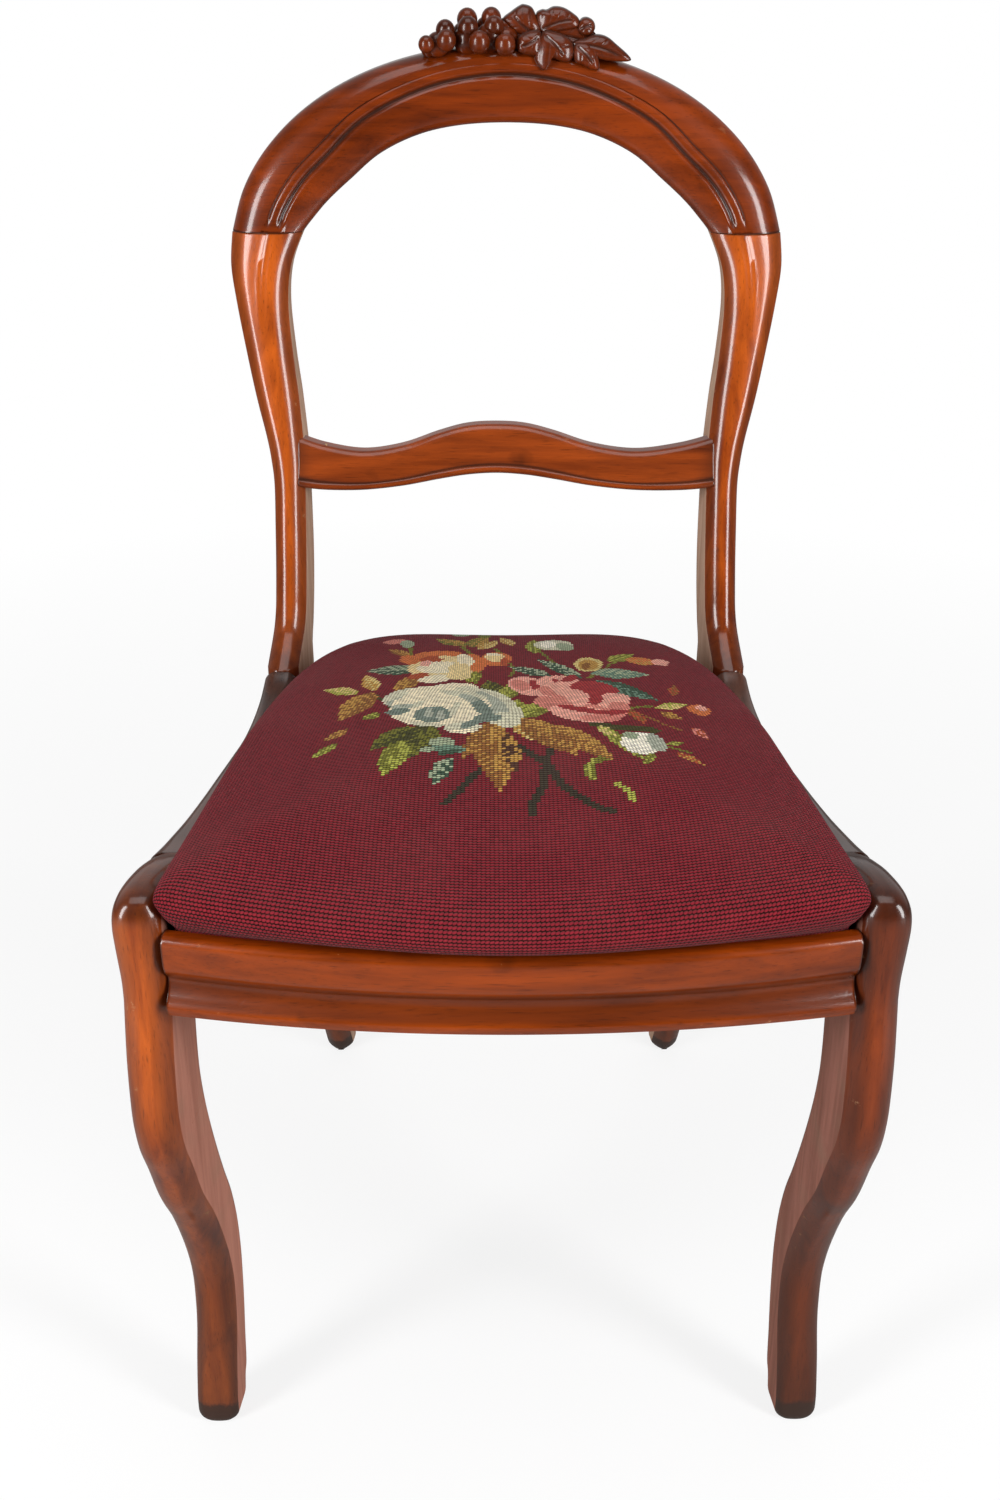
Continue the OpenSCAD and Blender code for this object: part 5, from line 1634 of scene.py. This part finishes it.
    # Each rose and bud from its outer petals in to its heart: middle, radii, turn, wool
    flowers: tuple = (
        # Peach rose behind
        (-45, 306, 25, 27, 0, W.PEACH), (-69, 322, 7, 11, 20, W.ORANGE), (-50, 331, 17, 9, 8, W.ORANGE),
        (-53, 321, 9, 7, 10, W.RUST), (-44, 324, 5, 4, 0, W.PEACH), (-23, 312, 7, 20, 8, W.ORANGE),
        (-30, 318, 6, 14, 10, W.CREAM), (-48, 303, 16, 12, 0, W.CREAM), (-34, 300, 8, 10, 0, W.PEACH),
        (-50, 281, 12, 7, 8, W.CREAM), (-34, 286, 9, 8, -20, W.PEACH), (-62, 288, 8, 5, 30, W.RUST),
        (-58, 312, 4, 6, 0, W.BLUSH), (-8, 320, 11, 16, 0, W.ORANGE), (-9, 324, 7, 11, 6, W.PEACH),
        (-10, 331, 5, 4, 0, W.CREAM), (-2, 314, 3, 9, 0, W.RUST),
        # Pink rose on the right
        (14, 266, 13, 18, 28, W.BLUSH), (20, 264, 4, 13, 18, W.RED), (8, 268, 6, 10, 24, W.PINK),
        (34, 274, 15, 12, 0, W.BLUSH), (42, 280, 4, 9, -30, W.RED), (36, 272, 3, 9, 40, W.RED),
        (56, 240, 25, 30, 6, W.PINK), (40, 254, 22, 21, 0, W.BLUSH), (59, 264, 17, 13, -24, W.RED),
        (70, 246, 11, 14, -38, W.BLUSH), (58, 246, 5, 9, -16, W.RED), (74, 236, 7, 8, 0, W.PINK),
        (30, 236, 15, 10, -38, W.PINK), (48, 222, 22, 12, -16, W.BLUSH), (50, 228, 19, 4, -18, W.RED),
        (68, 226, 12, 4, 18, W.RED), (60, 216, 14, 6, 4, W.PINK), (46, 250, 8, 12, 14, W.BLUSH),
        (34, 246, 4, 8, 30, W.PINK), (26, 258, 5, 9, 20, W.PINK),
        # White rose in front
        (-66, 252, 20, 14, 26, W.IVORY), (-68, 246, 15, 7, 26, W.MIST), (-58, 262, 11, 6, 16, W.CREAM),
        (-38, 263, 18, 9, 4, W.CREAM), (-24, 256, 13, 8, -34, W.IVORY), (-9, 230, 15, 32, 20, W.IVORY),
        (-11, 231, 9, 27, 20, W.MIST), (-2, 214, 8, 9, 20, W.IVORY), (-46, 232, 34, 30, 0, W.CREAM),
        (-30, 252, 17, 5, -24, W.IVORY), (-19, 232, 5, 20, 22, W.SLATE), (-27, 246, 4, 8, 40, W.MIST),
        (-14, 214, 9, 6, 10, W.SLATE), (-74, 228, 8, 5, 10, W.SLATE), (-70, 236, 8, 4, 0, W.MIST),
        (-30, 200, 12, 8, 8, W.IVORY), (-24, 206, 10, 4, 42, W.SLATE), (-30, 194, 8, 3, 4, W.CREAM),
        (-50, 221, 13, 12, 0, W.SLATE), (-53, 224, 3, 8, 0, W.MIST), (-45, 219, 3, 8, 0, W.MIST),
        (-60, 238, 3, 7, -30, W.IVORY), (-36, 228, 3, 12, -12, W.IVORY), (-54, 206, 12, 3, -14, W.IVORY),
        # Buds round the posy
        (84, 182, 13, 16, 0, W.WHITE), (94, 184, 6, 13, 12, W.MIST), (78, 192, 5, 5, 0, W.SAGE),
        (57, 310, 10, 15, -12, W.STRAW), (57, 309, 7, 11, -12, W.GOLD), (55, 306, 3, 8, -12, W.BROWN),
        (34, 358, 14, 17, 0, W.IVORY), (30, 360, 6, 11, 0, W.WHITE), (42, 352, 6, 12, 10, W.SAGE),
        (-82, 374, 10, 8, -20, W.PINK), (-73, 364, 5, 13, 8, W.SAGE), (-34, 408, 7, 14, 0, W.SAGE),
        (-16, 406, 5, 20, 0, W.OLIVE), (128, 242, 8, 9, 0, W.ORANGE), (130, 246, 4, 5, 0, W.BLUSH),
        (-43, 179, 9, 7, -10, W.SAGE), (-40, 170, 13, 5, -6, W.TEAL), (-38, 166, 8, 3, 20, W.PINE),
        (-52, 170, 5, 4, 0, W.SAGE), (110, 330, 6, 8, -20, W.BLUSH))

    def paint(self, at: Array) -> Array:
        """Colours of the stitches at the given places in the seat's plan.

        Args:
            at: The stitches' places [x, y].

        Returns:
            A linear colour for each.
        """
        colours = np.tile(Wool.GROUND.colour(), (len(at), 1))
        for kind, rows in ((Stem, self.stems), (Leaf, self.leaves), (Blot, self.flowers)):
            for row in rows:
                kind(*row).paint(at, colours)
        return colours


@dataclass
class NeedlepointCushion:
    """The needlepoint cover over its stuffing: one face of the mesh for each stitch."""

    form: SeatForm
    across: int = 42
    along: int = 50
    wall: int = 4
    skirt: int = 4
    under: int = 4
    pressure: float = 4.0
    stiffness: float = 25.0
    bending: float = 1.5
    cap: float = 6.0
    fade: float = 7.0
    swell: float = 4.5
    front_swell: float = 7.0
    rounds: int = 8
    half_span: float = 200.0
    climb: float = 26.0
    turned_under: float = 0.42
    frames: int = 20

    def cage(self) -> tuple[Array, Array, Array, Array]:
        """The half-fine cage: a square grid over the crown whose rings run on down the sides.

        A grid point (i, j) lies in the direction atan2(j / along, i / across) and on the
        ring max(|i| / across, |j| / along), which goes by the skin's length from the crown's
        middle to its edge.

        Returns:
            Points, quads, canvas places of each quad's corners, and a mark that is 1 where
            the cloth is held.
        """
        f = self.form
        keep = np.linspace(0, 1, 400)
        climb = self.climb * (1 - keep**f.crown_inner) ** f.crown_outer
        run = np.concatenate([[0], np.cumsum(np.hypot(np.diff(keep) * self.half_span, np.diff(climb)))])
        i, j = np.meshgrid(np.arange(-self.across, self.across + 1), np.arange(-self.along, self.along + 1),
                           indexing="ij")
        u, v = i / self.across, j / self.along
        ring = np.maximum(np.abs(u), np.abs(v))
        angle = np.arctan2(v, u)
        part = np.interp(ring, run / run[-1], keep)
        top = f.skin(np.cos(angle), np.sin(angle), 2 - part)
        cols = 2 * self.along + 1
        number = np.arange(i.size).reshape(i.shape)
        crown = np.stack([number[:-1, :-1], number[1:, :-1], number[1:, 1:], number[:-1, 1:]], axis=-1)
        quads = [crown.reshape(-1, 4)]
        canvas_at = np.stack([i, j], axis=-1)
        canvas = [canvas_at.reshape(-1, 2)[quads[0]]]
        # The four sides, each a strip of columns from the crown's edge to the hem
        a, b = self.across, self.along
        rim = np.concatenate([
            np.stack([np.arange(-a, a), np.full(2 * a, -b)], axis=-1),
            np.stack([np.full(2 * b, a), np.arange(-b, b)], axis=-1),
            np.stack([np.arange(a, -a, -1), np.full(2 * a, b)], axis=-1),
            np.stack([np.full(2 * b, -a), np.arange(b, -b, -1)], axis=-1)])
        way = np.repeat([[0, -1], [1, 0], [0, 1], [-1, 0]], [2 * a, 2 * b, 2 * a, 2 * b], axis=0)
        rim_angle = np.arctan2(rim[:, 1] / b, rim[:, 0] / a)
        cos, sin = np.cos(rim_angle), np.sin(rim_angle)
        levels = np.concatenate([np.linspace(1, 0.5, self.wall + 1)[1:],
                                 np.linspace(0.5, 0, self.skirt + 1)[1:]])
        side = f.skin(cos[None, :], sin[None, :], levels[:, None] + 0 * rim_angle[None, :])
        tuck = []
        for k in range(1, self.under + 1):
            plan = f.plan(cos, sin, f.frame_w * self.turned_under * k / self.under, f.rear_power)
            tuck.append(np.column_stack([plan, np.full(len(plan), f.hem_z)]))
        strips = np.concatenate([side, np.array(tuck)])
        points = np.vstack([top.reshape(-1, 3), strips.reshape(-1, 3)])
        rim_number = (rim[:, 0] + a) * cols + rim[:, 1] + b
        strip_number = i.size + np.arange(len(strips) * len(rim)).reshape(-1, len(rim))
        index = np.vstack([rim_number[None, :], strip_number])
        following = np.roll(index, -1, axis=1)
        wall_quads = np.stack([index[:-1], following[:-1], following[1:], index[1:]], axis=-1)
        depth = np.arange(len(index))[:, None, None]
        at = rim[None] + way[None] * depth
        step = np.roll(rim, -1, axis=0)[None] + way[None] * depth
        wall_canvas = np.stack([at[:-1], step[:-1], step[1:], at[1:]], axis=2).reshape(-1, 4, 2)[:, ::-1]
        quads.append(wall_quads.reshape(-1, 4)[:, ::-1])
        canvas.append(wall_canvas)
        from_rim = np.minimum(a - np.abs(i), b - np.abs(j)).ravel()
        held = np.concatenate([np.clip(1 - from_rim / self.fade, 0, 1), np.ones(len(strips) * len(rim))])
        near, push = held.copy(), held**2
        below = np.clip((np.arange(len(strips)) + 1) / self.wall, 0, 1)
        near[i.size:] = np.repeat(1 - below, len(rim))
        push[i.size:] = np.repeat(1 - below**2, len(rim))
        faces = np.vstack(quads)
        return self.rounded(points, faces, near, push), faces, np.concatenate(canvas), held

    def rounded(self, points: Array, quads: Array, near: Array,
                push: Array) -> Array:
        """Swells the crown's rim outwards, then rounds it by averaging neighbours.

        Args:
            points: The cage's points.
            quads: Its faces.
            near: How much the averaging moves a point: 1 at the rim, 0 where it stays.
            push: How much the swell moves a point: 1 at the rim, 0 in the middle and at the rails.

        Returns:
            The changed points.
        """
        out = points[:, :2] - [0, self.form.mid_y]
        out /= np.maximum(1.0, np.linalg.norm(out, axis=1, keepdims=True))
        points = points.copy()
        ahead = np.clip((self.form.mid_y - points[:, 1]) / self.form.half_d, 0, 1)
        points[:, :2] += out * ((self.swell + self.front_swell * ahead**4) * push)[:, None]
        share = np.bincount(quads.ravel(), minlength=len(points)) * 2.0
        for _ in range(self.rounds):
            total = np.zeros_like(points)
            for k in range(4):
                np.add.at(total, quads[:, k], points[quads[:, (k + 1) % 4]] + points[quads[:, k - 1]])
            points += 0.5 * near[:, None] * (total / share[:, None] - points)
        return points

    def puffed(self, points: Array, quads: Array, held: Array) -> Array:
        """Blows the cage up with cloth simulation and caps how far each point moves.

        Args:
            points: The cage's points.
            quads: Its faces.
            held: 1 where the cloth is held, 0 where it moves freely.

        Returns:
            The points after the simulation, none further than cap from its old place.
        """
        mesh = bpy.data.meshes.new("cushion_blank")
        lowest = np.arange(len(points) - 4 * (self.across + self.along), len(points))
        mesh.from_pydata(to_frame(points).tolist(), [], quads.tolist() + [lowest.tolist()])
        blank = placed("cushion_blank", mesh)
        pins = blank.vertex_groups.new(name="held")
        for weight in np.unique(np.round(held, 3)):
            if weight > 0:
                chosen = np.flatnonzero(np.isclose(held, weight, atol=6e-4))
                pins.add(chosen.tolist(), float(weight), "REPLACE")
        cloth = blank.modifiers.new("puff", "CLOTH")
        c = cloth.settings
        c.quality, c.mass = 5, 0.3
        c.tension_stiffness = c.compression_stiffness = self.stiffness
        c.shear_stiffness, c.bending_stiffness = self.stiffness * 0.4, self.bending
        c.use_pressure, c.uniform_pressure_force = True, self.pressure
        c.vertex_group_mass = "held"
        c.effector_weights.gravity = 0.0
        cloth.collision_settings.use_collision = False
        cloth.point_cache.frame_start, cloth.point_cache.frame_end = 1, self.frames
        scene = bpy.context.scene
        for frame in range(1, self.frames + 1):
            scene.frame_set(frame)
        evaluated = blank.evaluated_get(bpy.context.evaluated_depsgraph_get())
        after = np.empty(len(points) * 3)
        evaluated.data.vertices.foreach_get("co", after)
        moved = after.reshape(-1, 3) / METRE + [0, SIZES.depth / 2, 0] - points
        bpy.data.objects.remove(blank)
        scene.frame_set(1)
        length = np.linalg.norm(moved, axis=1, keepdims=True)
        log.info("cushion: cloth moved points up to %.1f mm", length.max())
        return points + moved * np.minimum(1, self.cap / np.maximum(length, 1e-6))

    def build(self, finish: Material) -> Object:
        """Makes the cushion: cage, simulation, one subdivision, then colours stitch by stitch.

        Args:
            finish: The wool stitches.

        Returns:
            The cushion.
        """
        points, quads, canvas, held = self.cage()
        points = self.puffed(points, quads, held)
        piece = Piece("needlepoint_cushion", points, [quads], body="seat", crease=180.0)
        made = piece.build(finish, "needlepoint", "seat_cover")
        uv = made.data.uv_layers.new(name="canvas")
        uv.data.foreach_set("uv", (canvas * 2.0).astype(np.float32).ravel())
        refine = made.modifiers.new("refine", "SUBSURF")
        refine.levels = refine.render_levels = 1
        refine.uv_smooth = "NONE"
        bake(made)
        self.colour(made.data)
        return made

    def colour(self, mesh: Mesh) -> None:
        """Gives each face of the mesh its stitch's wool colour.

        Args:
            mesh: The subdivided cushion.
        """
        count = len(mesh.polygons)
        centre = np.empty(count * 3)
        mesh.polygons.foreach_get("center", centre)
        centre = centre.reshape(-1, 3) / METRE + [0, SIZES.depth / 2, 0]
        loops = np.repeat(Bouquet().paint(centre[:, :2]), 4, axis=0)
        layer = mesh.color_attributes.new("wool", "FLOAT_COLOR", "CORNER")
        layer.data.foreach_set("color", loops.astype(np.float32).ravel())


@dataclass(frozen=True)
class TentStitch:
    """Wool tent stitches on canvas, one for each unit square of the canvas map."""

    name: str = "needlepoint_wool"

    def material(self) -> Material:
        """A slanted oval hump in each square, with painted shade between stitches, a painted highlight on
        each hump, and wool fuzz.

        Returns:
            The material, which reads the attribute wool and the map canvas.
        """
        s = Shader(self.name)
        wool = s.add("Attribute", attribute_name="wool", out="Color")
        uv = s.add("UVMap", uv_map="canvas")
        x, y = (s.math("SUBTRACT", s.math("FRACT", s.add("SeparateXYZ", {0: uv}, out=k)), 0.5)
                for k in (0, 1))
        # Across and along the slant from lower left to upper right
        x, y = s.math("MULTIPLY", x, 0.82), s.math("MULTIPLY", y, 1.12)
        across = s.math("MULTIPLY", s.math("SUBTRACT", x, y), 0.95)
        along = s.math("MULTIPLY", s.math("ADD", x, y), 0.62)
        far = s.math("ADD", s.math("MULTIPLY", across, across), s.math("MULTIPLY", along, along))
        hump = s.math("SQRT", s.math("MAXIMUM", s.math("SUBTRACT", 1.0, s.math("MULTIPLY", far, 3.6)), 0.0))
        fuzz = s.noise(s.place((1, 1, 1)), 1500.0, detail=3.0)
        cell = s.add("TexWhiteNoise", {"Vector": s.add("VectorMath", {0: uv}, operation="FLOOR")},
                     noise_dimensions="2D")
        # Painted highlight on each stitch's hump and painted shade in the gaps, with a random tone for each
        # stitch
        shade = s.math("ADD", s.span(hump, 0.0, 0.9, 0.05, 1.5),
                       s.math("MULTIPLY", s.math("SUBTRACT", cell, 0.5), 0.3))
        shade = s.math("ADD", shade, s.math("MULTIPLY", s.math("SUBTRACT", fuzz, 0.5), 0.35))
        dim = s.add("VectorMath", {0: wool, "Scale": shade}, operation="SCALE")
        worn = s.noise(s.place((1, 1, 1)), 14.0, detail=3.0)
        colour = s.mix(s.span(worn, 0.45, 0.75, 0.0, 0.04), dim, linear(170, 120, 110))
        height = s.math("ADD", hump, s.math("MULTIPLY", fuzz, 0.25))
        return s.finish(Base_Color=colour, Roughness=0.88, Sheen_Weight=0.05, Sheen_Roughness=0.45,
                        Specular_IOR_Level=0.1, Normal=s.bump(height, 0.0009, 0.9))


# The studio


@dataclass(frozen=True)
class Studio:
    """Pale floor, soft lamps and the camera of the photograph.

    The camera's place is in millimetres from the fit's own zero on the floor, which lies
    fit_zero behind the front datum. Its angles are in radians and its focal length is in
    pixels of a frame frame_px high.
    """

    camera_x: float = -14.26
    camera_y: float = 800.0
    camera_z: float = 983.0
    pitch: float = 0.46758
    yaw: float = 0.00832
    roll: float = 0.00356
    focal_px: float = 1708.6
    frame_px: float = 1500.0
    sensor: float = 36.0
    fit_zero: float = 7.0
    floor_half: float = 30.0
    lamps: tuple = (
        # name, place, aimed at, width, height, watts
        ("left_softbox", (-1.5, -1.2, 1.05), (0, 0, 0.5), 0.5, 1.8, 43.0),
        ("right_softbox", (1.5, -1.2, 1.05), (0, 0, 0.5), 0.5, 1.8, 43.0),
        ("overhead", (0.0, -0.3, 2.6), (0, 0, 0.4), 1.6, 1.2, 14.0))

    def build(self) -> None:
        """Makes the floor, the lamps, the world and the camera."""
        self.floor()
        for name, place, aim, width, height, watts in self.lamps:
            self.lamp(name, place, aim, width, height, watts)
        self.world()
        self.camera()

    def floor(self) -> None:
        """A wide pale floor that shows near white to the camera and keeps the shadow."""
        half = self.floor_half
        mesh = bpy.data.meshes.new("floor")
        corners = [(-half, -half, 0), (half, -half, 0), (half, half, 0), (-half, half, 0)]
        mesh.from_pydata(corners, [], [(0, 1, 2, 3)])
        floor = placed("floor", mesh)
        s = Shader("pale_floor")
        path = s.tree.nodes.new("ShaderNodeLightPath")
        tone = s.mix(path.outputs["Is Camera Ray"], linear(150, 148, 146), linear(240, 240, 240))
        s.feed(s.surface, {"Base Color": tone, "Roughness": 0.9, "Specular IOR Level": 0.1})
        glow = s.add("Emission", {"Color": (1, 1, 1, 1), "Strength": 1.0})
        seen = s.math("MAXIMUM", path.outputs["Is Camera Ray"], path.outputs["Is Transmission Ray"])
        away = s.add("VectorMath", {0: s.add("TexCoord", out="Object")}, out="Value", operation="LENGTH")
        share = s.math("MULTIPLY", seen, s.span(away, 0.4, 1.8, 0.80, 1.0))
        both = s.add("MixShader", {0: share, 1: s.surface.outputs[0], 2: glow})
        s.tree.links.new(both, s.tree.nodes["Material Output"].inputs["Surface"])
        mesh.materials.append(s.material)

    def lamp(self, name: str, place: tuple, aim: tuple, width: float, height: float, watts: float) -> None:
        """One rectangular soft lamp that faces the point aim.

        Args:
            name: The lamp's name.
            place: Where it stands, in metres.
            aim: What it faces.
            width: Its width in metres.
            height: Its height in metres.
            watts: Its power.
        """
        light = bpy.data.lights.new(name, "AREA")
        light.shape, light.size, light.size_y, light.energy = "RECTANGLE", width, height, watts
        lamp = placed(name, light)
        away = np.array(place) - np.array(aim)
        lamp.rotation_mode = "QUATERNION"
        lamp.rotation_quaternion = Vector(away).to_track_quat("Z", "Y")
        lamp.location = place

    def world(self) -> None:
        """White to the camera; for the rest dim in front of the chair and bright behind it."""
        world = bpy.data.worlds.new("studio")
        s = NodeGraph(world)
        path = s.tree.nodes.new("ShaderNodeLightPath")
        seen = s.math("MAXIMUM", path.outputs["Is Camera Ray"], path.outputs["Is Transmission Ray"])
        behind = s.add("SeparateXYZ", {0: s.add("TexCoord", out="Generated")}, out="Y")
        fill = s.span(behind, -0.1, 0.7, 0.03, 0.5)
        level = s.add("Mix", {0: seen, 2: fill, 3: 1.0})
        s.feed(s.tree.nodes["Background"], {"Color": (1, 1, 1, 1), "Strength": level})
        bpy.context.scene.world = world

    def camera(self) -> None:
        """The camera that was fitted to the photograph, in the shared frame."""
        cos_p, sin_p = math.cos(self.pitch), math.sin(self.pitch)
        cos_y, sin_y = math.cos(self.yaw), math.sin(self.yaw)
        forward = Vector((sin_y * cos_p, cos_y * cos_p, -sin_p))
        right = Vector((cos_y, -sin_y, 0))
        up = right.cross(forward)
        r = right * math.cos(self.roll) + up * math.sin(self.roll)
        u = -right * math.sin(self.roll) + up * math.cos(self.roll)
        data = bpy.data.cameras.new("photo_camera")
        data.sensor_width, data.lens = self.sensor, self.focal_px / self.frame_px * self.sensor
        data.clip_start, data.clip_end = 0.05, 100.0
        camera = placed("photo_camera", data)
        turn = Matrix((r, u, -forward)).transposed().to_4x4()
        y = -self.camera_y + self.fit_zero - SIZES.depth / 2
        place = Vector((self.camera_x, y, self.camera_z)) * METRE
        camera.matrix_world = Matrix.Translation(place) @ turn
        bpy.context.scene.camera = camera


def main() -> None:
    """Builds the chair's looks piece by piece."""
    logging.basicConfig(level=logging.INFO, format="%(message)s")
    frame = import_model()
    bpy.context.scene.view_settings.view_transform = "Standard"

    # The left leg's wood is a lit copy and the right leg's a shaded copy of one mahogany
    lit_left_wood = PolishedWood("left_leg_mahogany_lit", (208, 100, 30), (118, 44, 10), foot=True).material()
    shaded_right_wood = PolishedWood("right_leg_mahogany_shaded", (142, 60, 18), (72, 25, 7), foot=True).material()
    strip_wood = PolishedWood("leg_strip_mahogany", (150, 68, 26), (84, 32, 12)).material()
    post_wood = PolishedWood("post_mahogany", (194, 90, 22), (120, 46, 9), foot=True).material()
    side_wood = PolishedWood("side_rail_mahogany", (96, 56, 40), (50, 28, 20), grain=Grain.BACK).material()
    front_wood = PolishedWood("front_rail_mahogany", (158, 64, 2), (88, 30, 1), grain=Grain.ACROSS).material()
    crest_wood = PolishedWood("crest_mahogany", (132, 50, 3), (64, 19, 1), grain=Grain.ACROSS,
                              chips=0.2).material()
    cross_wood = PolishedWood("cross_rail_mahogany", (158, 68, 18), (82, 29, 6), grain=Grain.ACROSS,
                              chips=0.2).material()
    carved = PolishedWood("carved_mahogany_dark", (120, 44, 4), (50, 15, 1), grain=Grain.ACROSS,
                          polish=0.34, coat=0.55, coat_rough=0.16, chips=0.0).material()
    # The same for the legs' unpolished inner sides: a lit copy on the left, a shaded copy on the right
    lit_left_inside = RawWood("left_leg_inner_side_lit", (175, 116, 97), (150, 94, 76), grain=Grain.UP).material()
    shaded_right_inside = RawWood("right_leg_inner_side_shaded", (142, 90, 75), (114, 68, 53), grain=Grain.UP).material()
    post_inside = RawWood("post_inner_side", (182, 150, 128), (154, 118, 96), grain=Grain.UP).material()

    for side, leg_wood, leg_inside in ((Side.LEFT, lit_left_wood, lit_left_inside),
                                       (Side.RIGHT, shaded_right_wood, shaded_right_inside)):
        FrontLeg(side).build(leg_wood, leg_inside, strip_wood)
        BackPost(side).build(post_wood, post_inside)
        SideRail(side).build(side_wood)
    FrontRail().build(front_wood)
    CrestRail().build(crest_wood)
    CrossRail().build(cross_wood)
    GrapeCluster().build(carved)
    LeafSpray().build(carved)
    form = SeatForm()
    NeedlepointCushion(form).build(TentStitch().material())

    beech = RawWood("sawn_beech", (176, 132, 88), (128, 90, 56)).material()
    pine = RawWood("planed_pine", (202, 164, 112), (160, 118, 72)).material()
    birch = RawWood("turned_birch", (206, 176, 130), (172, 138, 92)).material()
    jute = PlainWeave("jute_strap", (176, 150, 108), (96, 76, 48), 0.0022).material()
    sacking = PlainWeave("burlap_cloth", (160, 134, 92), (90, 70, 42), 0.0018).material()
    black = PlainWeave("dust_cloth_black", (40, 38, 38), (14, 13, 13), 0.0008).material()
    felt = PlainWeave("cotton_felt", (212, 202, 178), (176, 164, 138), 0.004).material()
    SeatTextiles(form).build(jute, sacking, black, felt)
    finishes = {
        "back_rail": beech,
        "block_screws": Steel("dull_steel", (150, 146, 140)).material(),
        "cover_tacks": Steel("blued_steel", (70, 72, 80)).material()}
    for name, node in frame["nodes"].items():
        if name.endswith("block"):
            finish = beech
        elif name.endswith("dowels"):
            finish = birch
        elif name.startswith("seat_frame"):
            finish = pine
        else:
            finish = finishes.get(name)
        if finish:
            for slot in node.material_slots:
                slot.material = finish
    Studio().build()
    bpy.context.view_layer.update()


if __name__ == "__main__":
    main()
